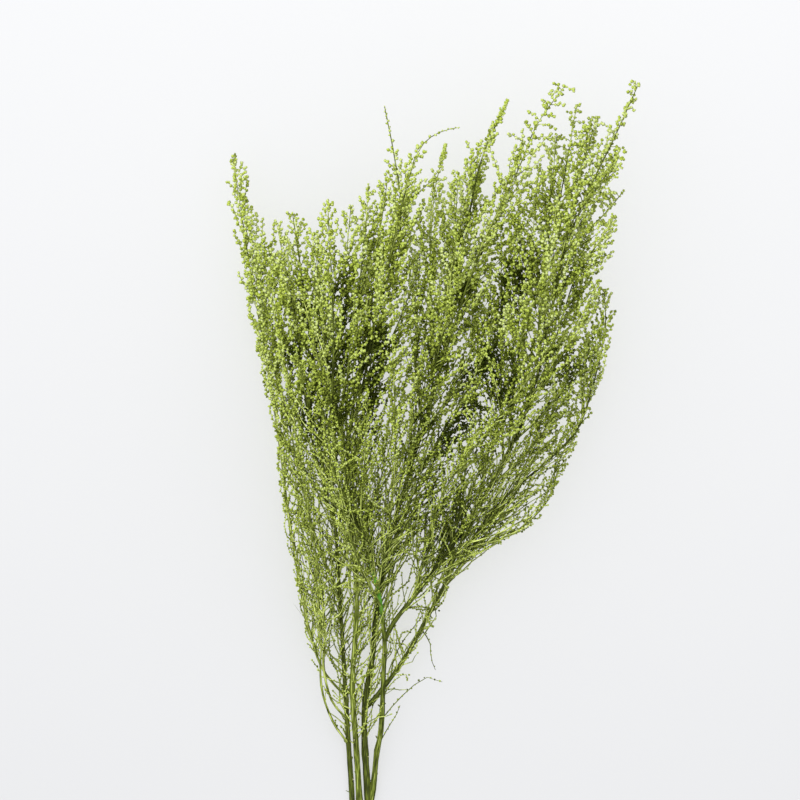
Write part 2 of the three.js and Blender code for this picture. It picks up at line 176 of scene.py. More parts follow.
STEMS = (
    StemRow("left", "left_stem", 2.8, 20, (
        (-73.6, -344, 2.1), (-74.5, -300, 2), (-77, -262, 4.5), (-80, -213, 9), (-83, -159, 15),
        (-86, -114, 21), (-90, -51, 30), (-101, 30, 38), (-111, 111, 44), (-128, 226, 50))),
    StemRow("front", "front_stem", 3.2, 60, (
        (-67, -344, 2.4), (-67.5, -308, 3), (-71, -249, 14), (-74, -204, 23), (-71.6, -159, 32),
        (-70, -123, 41), (-74, -69, 51), (-79, -15, 58), (-72, 57, 66), (-54, 125, 75),
        (-35, 190, 82), (-30, 230, 82), (-36, 275, 78), (-45, 321, 72)), habit=Habit.WHIP, tone=0.46),
    StemRow("middle", "forked_stem", 3.5, 90, (
        (-59.8, -344, 2.6), (-60, -304, 2.4), (-63, -249, 6), (-62, -213, 8), (-56, -177, 12),
        (-51, -123, 18), (-40, -69, 24), (-22, -6, 30), (3, 75, 38), (20, 150, 46),
        (30, 215, 50), (42, 272, 53), (66, 327, 56)), habit=Habit.SPIKE),
    StemRow("inner", "forked_stem", 2.9, 60, (
        (-55, -292, 5), (-52, -262, 9), (-48, -240, 12), (-46, -195, 22), (-45, -159, 32),
        (-51, -114, 46), (-64, -72, 60), (-79, -34, 74), (-89, -12, 81), (-95, 18, 88),
        (-92, 60, 94), (-91, 130, 98), (-96, 234, 92)), fork=("middle", -322), tone=0.42,
        fresh=(-113, 26)),
    StemRow("right", "forked_stem", 2.2, 70, (
        (-36, -143, 36), (-22, -125, 38), (-5, -103, 41), (32, -51, 48), (68, 12, 56),
        (90, 70, 62), (104, 130, 66), (117, 190, 70), (139, 246, 72), (161, 291, 70),
        (184, 342, 66)), fork=("inner", -160), habit=Habit.LOOSE),
    StemRow("low", "forked_stem", 2.2, 0, (
        (-50, -208, 11), (-26, -175, 17), (3, -122, 25), (20, -90, 31), (60, -35, 40),
        (100, 0, 44), (129, 31, 44), (144, 74, 40), (154, 120, 34), (153, 156, 30)),
        fork=("middle", -222)),
)

SPRAYS = (
    SprayRow("left", -212, (-182, 277, 34), (
        (-104, -180, 16), (-121, -114, 26), (-132, -42, 30), (-146, 57, 26), (-166, 174, 28))),
    SprayRow("left", -232, (-156, 190, 74), (
        (-93, -214, 22), (-100, -184, 32), (-99, -150, 42), (-104, -100, 50), (-116, -30, 60),
        (-130, 60, 68))),
    SprayRow("left", -60, (-142, 216, 76), ((-112, 30, 58), (-124, 120, 72))),
    SprayRow("left", -120, (-158, 160, 7), ((-110, -60, 13), (-128, 20, 4), (-146, 96, 1.6))),
    SprayRow("left", 60, (-108, 207, 68)),
    SprayRow("left", -254, (-132, 6, 60), (
        (-90, -237, 13), (-100, -212, 21), (-103, -188, 26), (-102, -148, 31), (-109, -90, 38),
        (-121, -40, 48))),
    SprayRow("left", -30, (-124, 104, 114)),
    SprayRow("left", 20, (-96, 150, 14)),
    SprayRow("left", 90, (-150, 196, 12)),
    SprayRow("inner", 40, (-75, 230, 104)),
    SprayRow("inner", 0, (-120, 158, 130)),
    SprayRow("inner", -40, (-112, 80, 124)),
    SprayRow("inner", 20, (-72, 150, 124)),
    SprayRow("inner", -100, (-60, 66, 128), ((-66, -50, 84), (-62, 10, 112))),
    SprayRow("inner", -130, (-92, 34, 126), ((-72, -80, 88), (-86, -20, 114))),
    SprayRow("inner", -114, (-38, 114, 128), (
        (-44, -74, 66), (-38, -33, 88), (-35, 12, 106), (-36, 57, 120))),
    SprayRow("front", 80, (-59, 249, 62)),
    SprayRow("front", 130, (22, 301, 110), (
        (-24, 252, 118), (-14, 280, 116), (-5, 291, 114), (8, 298, 112)), Habit.WHIP),
    SprayRow("front", 30, (-46, 196, 108)),
    SprayRow("front", -20, (-52, 140, 113)),
    SprayRow("front", -80, (-30, 60, 96)),
    SprayRow("front", 6, (-100, 118, 38)),
    SprayRow("front", 60, (-14, 178, 78)),
    SprayRow("front", -50, (-70, 78, 30)),
    SprayRow("middle", 60, (10, 287, 90), ((-4, 160, 62), (-1, 236, 84)), Habit.SPIKE),
    SprayRow("middle", 90, (117, 339, 84), (
        (38, 184, 72), (60, 232, 84), (77, 268, 88), (92, 304, 88)), Habit.LOOSE),
    SprayRow("middle", 150, (66, 243, 26), (), Habit.SPIKE),
    SprayRow("middle", 130, (22, 262, 24)),
    SprayRow("middle", 30, (-12, 206, 50)),
    SprayRow("middle", 50, (22, 214, 112)),
    SprayRow("middle", -10, (14, 150, 100)),
    SprayRow("middle", -50, (-8, 100, 88)),
    SprayRow("middle", 20, (50, 140, 14)),
    SprayRow("middle", -30, (34, 76, 98)),
    SprayRow("middle", -90, (-4, 20, 92)),
    SprayRow("right", 230, (166, 281, 90), (), Habit.LOOSE),
    SprayRow("right", 190, (171, 246, 52), (), Habit.LOOSE),
    SprayRow("right", 150, (162, 222, 98)),
    SprayRow("right", 110, (128, 322, 56), (), Habit.LOOSE),
    SprayRow("right", 130, (139, 303, 98), (), Habit.LOOSE),
    SprayRow("right", 50, (92, 244, 62)),
    SprayRow("right", 80, (110, 236, 106)),
    SprayRow("right", 40, (138, 204, 8), ((104, 96, 20), (122, 152, 1.6))),
    SprayRow("right", 10, (86, 172, 108)),
    SprayRow("right", 0, (60, 200, 60)),
    SprayRow("right", 60, (146, 164, 90)),
    SprayRow("right", -40, (76, 108, 102)),
    SprayRow("right", 20, (138, 104, 84)),
    SprayRow("right", -120, (112, 118, 126), ((5, -33, 82), (41, 21, 106), (77, 66, 122))),
    SprayRow("right", -80, (54, 34, 97)),
    SprayRow("right", -20, (108, 44, 82)),
    SprayRow("low", -95, (113, 0, 36), (
        (31, -76, 38), (58, -69, 42), (80, -57, 42), (102, -34, 40))),
    SprayRow("low", -60, (104, 60, 6), ((66, -34, 8), (88, 12, 1.4))),
    SprayRow("low", -110, (44, -20, 72)),
    SprayRow("low", 40, (138, 116, 56)),
)

DRY_TWIGS = (
    TwigRow("left", -299, ((-80, -296.5, 3),)),
    TwigRow("inner", -232, ((-37, -219, 14), (-24, -206, 15), (-8, -194, 18), (7, -198, 20))),
    TwigRow("low", -150, ((-4, -162, 20), (-3, -176, 20), (1, -187, 22))),
    TwigRow("inner", -256, ((-41, -238, 16), (-35, -229, 20), (-31, -219, 23))),
    TwigRow("left", -156, ((-104, -146, 24), (-117, -140, 26), (-127, -127, 28)), 0.2, False),
    TwigRow("left", -150, ((-90, -142, 24), (-98, -139, 28), (-111, -133, 30)), 0.2, False),
    TwigRow("left", -164, ((-90, -154, 20), (-100, -149, 22), (-112, -145, 22)), 0.2, False),
    TwigRow("left", -176, ((-88, -166, 18), (-97, -160, 20), (-118, -153, 22)), 0.2, False),
)

BOUGHS = (
    BoughRow("middle_spray_10", 14, (48, 104, 86)),
    BoughRow("middle_spray_10", -6, (30, 50, 66)),
    BoughRow("right_spray_10", 30, (42, 108, 60)),
    BoughRow("right_spray_10", 70, (50, 160, 70)),
    BoughRow("right_spray_15", -40, (34, 56, 78)),
    BoughRow("right_spray_15", -50, (26, 10, 60)),
    BoughRow("middle_spray_09", 44, (56, 112, 34)),
    BoughRow("right_spray_10", 110, (76, 232, 74)),
    BoughRow("right_spray_05", 110, (72, 214, 44)),
    BoughRow("right_spray_04", 190, (110, 296, 70)),
    BoughRow("right_spray_04", 230, (146, 312, 50)),
    BoughRow("middle_spray_11", -60, (8, -4, 70)),
    BoughRow("low_spray_03", -90, (22, -18, 60)),
    BoughRow("low_spray_03", -100, (12, -44, 46)),
    BoughRow("middle_spray_04", 180, (40, 262, 40)),
    BoughRow("front_spray_01", 150, (-42, 256, 72)),
    BoughRow("right_spray_10", 60, (34, 142, 62)),
    BoughRow("middle_spray_09", 100, (34, 172, 40)),
    BoughRow("middle_spray_11", -30, (16, 34, 70)),
    BoughRow("low_spray_03", -104, (6, -20, 60)),
    BoughRow("middle_spray_11", -84, (-16, -34, 70)),
    BoughRow("right_spray_14", -100, (-14, -40, 76)),
    BoughRow("right_spray_14", -80, (0, -10, 84)),
    BoughRow("right_spray_15", -70, (20, -30, 70)),
    BoughRow("low_spray_01", -40, (126, 36, 44)),
    BoughRow("low_spray_02", 0, (122, 84, 10)),
)


def clamp01(value: float) -> float:
    """The value, kept between 0 and 1."""
    return min(1.0, max(0.0, value))


def bloom_at(level: float) -> float:
    """How far growth at a level on Y has come into flower, from 0 in bud to 1 in full head."""
    return clamp01((level - BUD_LEVEL) / (HEAD_LEVEL - BUD_LEVEL))


def fan_edges_at(levels: float | np.ndarray) -> tuple[float | np.ndarray, float | np.ndarray]:
    """The left and right edge of the fan at a level on Y, or at many levels."""
    return np.interp(levels, FAN_LEVELS, FAN_LEFTS), np.interp(levels, FAN_LEVELS, FAN_RIGHTS)


def grown(start: float, end: float, share: float) -> float:
    """The value at a share of the way from one to another, such as from bud to full head."""
    return start + (end - start) * share


def size_at(level: float) -> float:
    """Share of the full head size at a level on Y."""
    return grown(BUD_SHARE, 1.0, bloom_at(level))


@dataclass(frozen=True)
class Place:
    """A station on a route: its point, its direction and two square directions."""

    point: Vector
    tangent: Vector
    side: Vector
    up: Vector

    def outward(self, turn: float) -> Vector:
        """The square direction at a turn round the route."""
        return self.side * math.cos(turn) + self.up * math.sin(turn)

    def leaning(self, turn: float, lean: float) -> Vector:
        """The direction that leans out of the route by an angle, at a turn round it."""
        return self.tangent * math.cos(lean) + self.outward(turn) * math.sin(lean)


class Route:
    """A line through points, with its running lengths and an untwisted frame at every point."""

    def __init__(self, points: list[Vector]) -> None:
        """Measures the line and lays its frames.

        Args:
            points: Where the line passes, in order.
        """
        self.points = points
        self.lengths = [0.0]
        for before, after in zip(points, points[1:]):
            self.lengths.append(self.lengths[-1] + (after - before).length)
        self.length = self.lengths[-1]
        padded = [points[0], *points, points[-1]]
        self.tangents = [(after - before).normalized() for before, after in zip(padded, padded[2:])]
        self.sides = []
        side = self.tangents[0].orthogonal()
        for tangent in self.tangents:
            side = (side - tangent * side.dot(tangent)).normalized()
            self.sides.append(side)

    @classmethod
    def smooth(cls, knots: list[Vector]) -> "Route":
        """A route along the even spline through some points.

        Args:
            knots: The points that the spline passes.

        Returns:
            The route, with the same stations between any two knots.
        """
        padded = [knots[0] * 2 - knots[1], *knots, knots[-1] * 2 - knots[-2]]
        line = [knots[0]]
        for before, start, end, after in zip(padded, padded[1:], padded[2:], padded[3:]):
            leave = start + (end - before) / 6
            arrive = end - (after - start) / 6
            line += interpolate_bezier(start, leave, arrive, end, ROUTE_STEPS)[1:]
        return cls(line)

    def at(self, length: float) -> Place:
        """The place at a length along the route.

        Args:
            length: Distance from the start.

        Returns:
            The point there, with its frame.
        """
        i = int(np.searchsorted(self.lengths, length))
        i = min(max(i, 1), len(self.points) - 1)
        share = clamp01((length - self.lengths[i - 1]) / (self.lengths[i] - self.lengths[i - 1]))
        tangent = self.tangents[i - 1].lerp(self.tangents[i], share).normalized()
        side = self.sides[i - 1].lerp(self.sides[i], share)
        side = (side - tangent * side.dot(tangent)).normalized()
        point = self.points[i - 1].lerp(self.points[i], share)
        return Place(point, tangent, side, tangent.cross(side))

    def length_at_level(self, level: float) -> float:
        """The length at which the route first passes a level on Y.

        Args:
            level: The level.

        Returns:
            The length, or the whole length if the route ends below the level.
        """
        if self.points[0].y >= level:
            return 0.0
        for i in range(1, len(self.points)):
            if self.points[i].y >= level:
                rise = self.points[i].y - self.points[i - 1].y
                share = (level - self.points[i - 1].y) / rise
                return self.lengths[i - 1] + share * (self.lengths[i] - self.lengths[i - 1])
        return self.length


@dataclass(frozen=True)
class Axis:
    """The line of wood of a stem, spray or bough, with where its flowers begin and how it ends."""

    route: Route
    foot_radius: float
    tip_radius: float
    leafy_start: float
    habit: Habit
    is_stem: bool = False
    tone: float = 0.58
    fresh: Span | None = None

    def wood_radius(self, length: float) -> float:
        """Radius of the wood at a length from the foot."""
        share = clamp01(length / self.route.length) ** WOOD_TAPER
        return self.foot_radius + (self.tip_radius - self.foot_radius) * share


def bend(root: Place, tip: Vector) -> list[Vector]:
    """The two inner points of a spray that leaves its stem at a slant and bends up to its tip.

    Args:
        root: Where it grows from the stem.
        tip: Where it ends.

    Returns:
        Two points between them.
    """
    span = tip - root.point
    reach = span.length
    across = (span - root.tangent * span.dot(root.tangent)).normalized()
    leave = (root.tangent + across * LEAVE_SPREAD).normalized()
    arrive = (span.normalized() + Vector((0.0, ARRIVE_LIFT, 0.0))).normalized()
    handles = [root.point, root.point + leave * reach * LEAVE_REACH, tip - arrive * reach * ARRIVE_REACH, tip]
    points = []
    for share in BEND_SHARES:
        line = handles
        while len(line) > 1:
            line = [a.lerp(b, share) for a, b in zip(line, line[1:])]
        points.append(line[0])
    return points


def grow_axes() -> tuple[dict[str, Axis], dict[str, Axis]]:
    """Lays the woody stems and the sprays along the routes that the CAD solids follow.

    Returns:
        The stems by name, and the sprays by the name of their CAD node.
    """
    stems: dict[str, Axis] = {}
    for row in STEMS:
        knots = [Vector(point) for point in row.route]
        if row.fork:
            parent, level = row.fork
            route = stems[parent].route
            knots.insert(0, route.at(route.length_at_level(level)).point)
        route = Route.smooth(knots)
        leafy = route.length_at_level(row.leafy_level)
        stems[row.name] = Axis(
            route, row.foot_radius, STEM_TIP_RADIUS, leafy, row.habit, True, row.tone, row.fresh)
    sprays: dict[str, Axis] = {}
    counts = dict.fromkeys(stems, 0)
    for row in SPRAYS:
        counts[row.stem] += 1
        parent = stems[row.stem].route
        root = parent.at(parent.length_at_level(row.level))
        tip = Vector(row.tip)
        between = [Vector(point) for point in row.via] or bend(root, tip)
        route = Route.smooth([root.point, *between, tip])
        leafy = max(route.length * SPRAY_BARE_SHARE, route.length_at_level(LEAF_LEVEL))
        sprays[f"{row.stem}_spray_{counts[row.stem]:02d}"] = Axis(route, *SPRAY_RADII, leafy, row.habit)
    return stems, sprays


class Stamp:
    """A small closed mesh, made once and set down many times in the mesh of a piece."""

    def __init__(self, bm: bmesh.types.BMesh, name: str, patches: int = 1) -> None:
        """Keeps the shape with the attributes that every set-down copy fills in.

        Args:
            bm: The shape, one unit in radius, which is freed here.
            name: Name of the mesh.
            patches: How many squares of the bake's map it takes.
        """
        self.mesh = bpy.data.meshes.new(name)
        bm.to_mesh(self.mesh)
        bm.free()
        self.patches = patches
        self.rest = np.empty(len(self.mesh.vertices) * 3, np.float32)
        self.mesh.vertices.foreach_get("co", self.rest)
        self.rest = self.rest.reshape(-1, 3)
        self.patch = np.empty(len(self.mesh.polygons), np.int32)
        self.mesh.attributes["patch"].data.foreach_get("value", self.patch)

    def fill(self, name: str, values: np.ndarray) -> None:
        """Writes one vertex attribute of the shape, of single values or of vectors."""
        field = "value" if values.ndim == 1 else "vector"
        self.mesh.attributes[name].data.foreach_set(field, values.astype(np.float32).ravel())

    def set_down(self, target: bmesh.types.BMesh, points: np.ndarray, first_patch: int) -> None:
        """Adds a copy to a larger mesh.

        Args:
            target: The mesh that it goes into.
            points: Where its vertices go.
            first_patch: The first free square of that mesh's bake map.
        """
        self.mesh.vertices.foreach_set("co", points.astype(np.float32).ravel())
        self.mesh.attributes["patch"].data.foreach_set("value", self.patch + first_patch)
        target.from_mesh(self.mesh)


def new_shape() -> bmesh.types.BMesh:
    """An empty mesh with the layers that every stamp carries.

    Returns:
        The mesh, to be freed by its user.
    """
    bm = bmesh.new()
    bm.verts.layers.float.new("tone")
    bm.verts.layers.float.new("painted_light")
    bm.verts.layers.float.new("fresh")
    bm.verts.layers.float_vector.new("grain")
    bm.faces.layers.int.new("patch")
    bm.loops.layers.uv.new("OFBake")
    return bm


@dataclass(frozen=True)
class Bead:
    """A round head or bud of unit radius, with its stalk at the bottom of its own Z."""

    bracts: int = 4
    rows: int = 4
    bud_rows: int = 3
    bract_height: float = 0.13
    gap_depth: float = 0.13
    bract_stray: float = 0.08
    foot_draw: float = 0.78
    crown_draw: float = 0.88
    top_disc: tuple[float, float, float] = (0.3, 0.5, 0.2)
    foot_disc: tuple[float, float, float] = (0.79, 0.5, 0.2)

    def head(self, name: str, rng: random.Random) -> Stamp:
        """A flower head: a bead whose rows of bracts stand out with gaps between them, with painted shade in
        the gaps and a painted highlight on the bracts.

        Args:
            name: Name of its mesh.
            rng: Draws that make no two variants alike.

        Returns:
            The head, ready to be set down.
        """
        bm = new_shape()
        bmesh.ops.create_uvsphere(bm, u_segments=self.bracts, v_segments=self.rows, radius=1.0)
        # Painted light: a highlight on the bracts that stand out, shade in the gaps and at the foot, half way
        # at the crown
        painted_light = bm.verts.layers.float["painted_light"]
        for vert in bm.verts:
            row = round(math.acos(max(-1.0, min(1.0, vert.co.z))) / math.pi * self.rows)
            column = round(math.atan2(vert.co.y, vert.co.x) / math.tau * self.bracts)
            stray = 1.0 + rng.uniform(-self.bract_stray, self.bract_stray)
            if row in (0, self.rows):
                vert[painted_light] = 0.5 if row == 0 else 0.0
                vert.co *= self.crown_draw if row == 0 else self.foot_draw
            elif (row + column) % 2:
                vert[painted_light] = 1.0
                vert.co *= (1.0 + self.bract_height) * stray
            else:
                vert[painted_light] = 0.0
                vert.co *= (1.0 - self.gap_depth) * stray
        self.unwrap(bm)
        return Stamp(bm, name)

    def bud(self, name: str) -> Stamp:
        """A closed bud: a plain small bead, with painted shade towards its foot and painted paler towards its
        tip.

        Args:
            name: Name of its mesh.

        Returns:
            The bud, ready to be set down.
        """
        bm = new_shape()
        bmesh.ops.create_uvsphere(bm, u_segments=self.bracts, v_segments=self.bud_rows, radius=1.0)
        # Painted light: shade towards the foot, a highlight towards the tip
        painted_light = bm.verts.layers.float["painted_light"]
        for vert in bm.verts:
            vert[painted_light] = 0.5 + 0.5 * vert.co.z
        self.unwrap(bm)
        return Stamp(bm, name)

    def unwrap(self, bm: bmesh.types.BMesh) -> None:
        """Lays the crown and the foot of a bead out as two discs in its square of the bake's map.

        Args:
            bm: The bead.
        """
        uv = bm.loops.layers.uv["OFBake"]
        for face in bm.faces:
            face.material_index = Coat.HEAD.value
            is_crown = face.calc_center_median().z >= 0.0
            across, down, radius = self.top_disc if is_crown else self.foot_disc
            sign = 1.0 if is_crown else -1.0
            for loop in face.loops:
                place = loop.vert.co.normalized()
                spread = radius / (1.0 + sign * place.z)
                loop[uv].uv = (across + place.x * spread, down + place.y * spread)


class Sleeve:
    """A closed tube of unit radius with even stations, which is drawn over a route.

    In the bake's map a square holds a RUN of its stretches, with the two ends above them.
    """

    RUN = 4
    MARGIN = 0.03
    SPREAD = 0.94
    CLIMB = 0.817
    CAP_MIDDLES = (0.25, 0.75)
    CAP_LEVEL = 0.93
    CAP_SPREAD = (0.2, 0.04)
    FRESH_FADE = 1.5
    FRESH_MOST = 0.85

    def __init__(self, name: str, sides: int, steps: int, rib: float = 0.0, ends: Coat = Coat.BARK) -> None:
        """Makes the tube.

        Args:
            name: Name of its mesh.
            sides: Number of its sides.
            steps: Number of stretches between its stations.
            rib: How far every other corner stands out, as on a ribbed stem.
            ends: What its flat ends wear.
        """
        self.steps = steps
        self.ends = ends
        bm = new_shape()
        bmesh.ops.create_cone(
            bm, segments=sides, radius1=1.0, radius2=1.0, depth=1.0, cap_ends=True)
        bmesh.ops.translate(bm, verts=bm.verts[:], vec=(0.0, 0.0, 0.5))
        for vert in bm.verts:
            corner = round(math.atan2(vert.co.y, vert.co.x) / math.tau * sides)
            vert.co.xy *= 1.0 + (rib if corner % 2 else -rib)
        sleeve_edges = [edge for edge in bm.edges if abs(edge.verts[0].co.z - edge.verts[1].co.z) > 0.5]
        for edge in bm.edges:
            edge.smooth = edge in sleeve_edges
        if steps > 1:
            bmesh.ops.subdivide_edges(bm, edges=sleeve_edges, cuts=steps - 1, use_grid_fill=True)
        self.unwrap(bm, sides)
        self.stamp = Stamp(bm, name, math.ceil(steps / self.RUN))
        rest = self.stamp.rest
        self.station = np.rint(rest[:, 2] * steps).astype(int)
        self.ring = rest[:, :2]

    def unwrap(self, bm: bmesh.types.BMesh, sides: int) -> None:
        """Lays every few stretches of the tube out in a square of their own, with caps above.

        Args:
            bm: The tube.
            sides: Number of its sides.
        """
        uv = bm.loops.layers.uv["OFBake"]
        patch = bm.faces.layers.int["patch"]
        for face in bm.faces:
            centre = face.calc_center_median()
            is_cap = abs(face.normal.z) > 0.5
            face.material_index = (self.ends if is_cap else Coat.BARK).value
            stretch = min(int(centre.z * self.steps), self.steps - 1)
            face[patch] = stretch // self.RUN
            middle = math.atan2(centre.y, centre.x) / math.tau * sides
            for loop in face.loops:
                place = loop.vert.co
                if is_cap:
                    middle_of_cap = self.CAP_MIDDLES[round(centre.z)]
                    across, up = self.CAP_SPREAD
                    loop[uv].uv = (middle_of_cap + place.x * across, self.CAP_LEVEL + place.y * up)
                    continue
                corner = math.atan2(place.y, place.x) / math.tau * sides
                corner += sides * round((middle - corner) / sides)
                along = place.z * self.steps / self.RUN - face[patch]
                across = (corner / sides) % 1.0
                if middle % sides - corner % sides > 1.0:
                    across = 1.0
                loop[uv].uv = (self.MARGIN + self.SPREAD * across, self.MARGIN + self.CLIMB * along)

    def mark_fresh(self, route: Route, level: float, half: float) -> None:
        """Marks where the bark is fresh and green.

        Args:
            route: The line that the tube follows.
            level: The level on Y at the middle of the fresh stretch.
            half: Half of its length.
        """
        levels = [route.at(route.length * i / self.steps).point.y for i in range(self.steps + 1)]
        share = self.FRESH_FADE * (1.0 - np.abs(np.array(levels) - level) / half)
        share = np.clip(share, 0.0, self.FRESH_MOST)
        self.stamp.fill("fresh", share[self.station])

    def draw(self, target: "PieceMesh", route: Route, radii: list[float], tone: float) -> None:
        """Draws the tube over a route, into the mesh of a piece.

        Args:
            target: The piece's mesh.
            route: The line that it follows.
            radii: The tube's radius at every station.
            tone: Its shade, from 0 to 1.
        """
        places = [route.at(route.length * i / self.steps) for i in range(self.steps + 1)]
        points = np.array([place.point for place in places])[self.station]
        sides = np.array([place.side for place in places])[self.station]
        ups = np.array([place.up for place in places])[self.station]
        width = np.array(radii)[self.station]
        ring = self.ring * width[:, None]
        points = points + sides * ring[:, :1] + ups * ring[:, 1:]
        grain = np.column_stack([ring, self.station * (route.length / self.steps)])
        target.add(self.stamp, points, grain, tone)


class Cover:
    """How many layers of growth lie over every small square of the surface, as it grows."""

    CELL = 4.5
    CORNER = (-240.0, -400.0)
    CELLS = (110, 180)
    STATIONS = (0.35, 0.6, 0.8, 1.0)

    def __init__(self) -> None:
        """Starts with nothing over the surface."""
        self.layers = np.zeros(self.CELLS)

    def cell(self, point: Vector) -> tuple[int, int]:
        """The square under a point."""
        return int((point.x - self.CORNER[0]) / self.CELL), int((point.y - self.CORNER[1]) / self.CELL)

    def add(self, point: Vector, radius: float) -> None:
        """Counts a head or bud."""
        self.layers[self.cell(point)] += math.pi * (radius / self.CELL) ** 2

    def along(self, start: Vector, step: Vector) -> float:
        """The layers that lie under a straight step, as a mean over its outer part."""
        stations = [self.layers[self.cell(start + step * share)] for share in self.STATIONS]
        return sum(stations) / len(stations)


class Crowding:
    """How crowded the growth is round any point: most of all deep inside the bunch, where shade is painted
    into the colour.

    MOST is the count of heads that is fully crowded at each of the LEVELS, and a share of FEWEST is free.
    """

    CELL = 6.0
    CORNER = np.array((-240.0, -400.0, -60.0))
    CELLS = (80, 134, 44)
    LEVELS = (-60.0, 20.0, 90.0, 150.0, 200.0)
    MOST = (160.0, 130.0, 136.0, 245.0, 290.0)
    FEWEST = 0.2
    DEPTH = 1.6
    COUNT_UNIT = 6.0
    EDGE_WIDTH = 30.0
    EDGE_SHARE = 0.5

    def __init__(self, beads: np.ndarray) -> None:
        """Adds up the heads round every cell of a grid, by their cross sections.

        Args:
            beads: The centre and the radius of all heads and buds.
        """
        counts = np.zeros(self.CELLS)
        np.add.at(counts, self.cells(beads[:, :3]), (beads[:, 3] / HEAD_RADIUS) ** 2)
        for direction in (0, 1, 2, 0, 1, 2):
            counts = np.roll(counts, 1, direction) + counts + np.roll(counts, -1, direction)
        self.counts = counts / self.COUNT_UNIT

    def cells(self, points: np.ndarray) -> tuple[np.ndarray, ...]:
        """The cells that hold some points, as indices of the grid."""
        cells = ((points - self.CORNER) / self.CELL).astype(int)
        return tuple(np.clip(cells, 0, np.array(self.CELLS) - 1).T)

    def share(self, points: np.ndarray) -> np.ndarray:
        """How deep inside the bunch some points lie, which sets how much shade is painted on them.

        Args:
            points: The points.

        Returns:
            0 for those that stand free, up to 1 for those deep inside and away from the fan's edges.
        """
        share = self.counts[self.cells(points)] / np.interp(points[:, 1], self.LEVELS, self.MOST)
        left, right = fan_edges_at(points[:, 1])
        inward = np.minimum(points[:, 0] - left, right - points[:, 0])
        share *= np.clip(inward / self.EDGE_WIDTH, self.EDGE_SHARE, 1.0)
        return np.clip((share - self.FEWEST) / (1.0 - self.FEWEST), 0.0, 1.0) ** self.DEPTH


class PieceMesh:
    """The mesh of one piece, gathered from stamps, with its attributes and bake map."""

    SITS = (0.62, 0.848)
    STRETCHES = (0.92, 1.16)
    GRAIN_STRAY = 400.0

    def __init__(self, name: str, rng: random.Random) -> None:
        """Starts an empty piece.

        Args:
            name: Name of the piece.
            rng: The draws for all that grows on it.
        """
        self.name = name
        self.rng = rng
        self.plan: list[tuple[Stamp, np.ndarray, np.ndarray, float]] = []
        self.beads: list[tuple[float, float, float, float]] = []
        self.patches = 0

    def add(self, stamp: Stamp, points: np.ndarray, grain: np.ndarray, tone: float) -> None:
        """Plans a stamp in the piece, above the surface that the bunch lies on.

        Args:
            stamp: The shape.
            points: Where its vertices go.
            grain: Where they lie in the pattern of its material.
            tone: Its shade, from 0 to 1.
        """
        points[:, 2] = np.clip(points[:, 2], FLOOR_GAP, TOP_LEVEL)
        stray = np.array([self.rng.uniform(0.0, self.GRAIN_STRAY) for _ in range(3)])
        self.plan.append((stamp, points, grain + stray, clamp01(tone)))

    def add_bead(self, bead: Stamp, foot: Vector, heading: Vector, radius: float, tone: float) -> None:
        """Sets a head or bud on its foot.

        Args:
            bead: The shape.
            foot: The point on the twig that it grows from.
            heading: The way that it faces.
            radius: Its radius.
            tone: Its shade, from 0 to 1.
        """
        stretch = self.rng.uniform(*self.STRETCHES)
        turn = heading.to_track_quat("Z", "Y").to_matrix() @ Matrix.Rotation(
            self.rng.uniform(0.0, math.tau), 3, "Z")
        centre = foot + heading * radius * stretch * grown(*self.SITS, bloom_at(foot.y))
        centre.z = min(max(centre.z, radius + FLOOR_GAP), TOP_LEVEL - radius)
        self.beads.append((*centre, radius))
        shape = bead.rest * (radius, radius, radius * stretch)
        points = shape @ np.array(turn).T + np.array(centre)
        self.add(bead, points, shape, tone)

    def finish(self, coats: list[bpy.types.Material], crowding: Crowding) -> bpy.types.Object:
        """Writes the piece's mesh as an object.

        Args:
            coats: The materials, in the order of their slots.
            crowding: How crowded the whole bunch is; shade is painted into the colour where it is.

        Returns:
            The object, with its place in its mesh.
        """
        bm = new_shape()
        for stamp, points, grain, tone in self.plan:
            # Painted shade: the tone is darkened where the bunch is crowded, as light would be blocked deep
            # inside it
            stamp.fill("tone", tone * (1.0 - INNER_PAINTED_SHADE * crowding.share(points)))
            stamp.fill("grain", grain)
            stamp.set_down(bm, points * METRES, self.patches)
            self.patches += stamp.patches
        mesh = bpy.data.meshes.new(self.name)
        bm.to_mesh(mesh)
        bm.free()
        for material in coats:
            mesh.materials.append(material)
        self.lay_bake_map(mesh)
        mesh.polygons.foreach_set("use_smooth", [True] * len(mesh.polygons))
        mesh.update()
        piece = bpy.data.objects.new(self.name, mesh)
        bpy.context.scene.collection.objects.link(piece)
        return piece

    def lay_bake_map(self, mesh: bpy.types.Mesh) -> None:
        """Gives every stamp its own square in the bake's map.

        Args:
            mesh: The piece's mesh, whose map holds each stamp's place in its square.
        """
        count = len(mesh.polygons)
        patch = np.empty(count, np.int32)
        mesh.attributes["patch"].data.foreach_get("value", patch)
        corners = np.empty(count, np.int32)
        mesh.polygons.foreach_get("loop_total", corners)
        side = math.ceil(math.sqrt(self.patches))
        square = np.repeat(np.column_stack([patch % side, patch // side]), corners, axis=0)
        places = np.empty(len(mesh.loops) * 2, np.float32)
        uv = mesh.uv_layers["OFBake"].data
        uv.foreach_get("uv", places)
        uv.foreach_set("uv", ((places.reshape(-1, 2) + square) / side).astype(np.float32).ravel())
        mesh.attributes.remove(mesh.attributes["patch"])


@dataclass(frozen=True)
class Ending:
    """How sprigs and heads change over the last stretch of an axis, in mm from its tip."""

    zone: float
    tip_step: float
    tip_reach: float
    slope: float
    tip_bead: float
    lean: float
    arch: float = 0.0
    round_beads: int = 0

    def share(self, to_tip: float) -> float:
        """0 at the tip, 1 where the last stretch begins."""
        return clamp01(to_tip / self.zone)


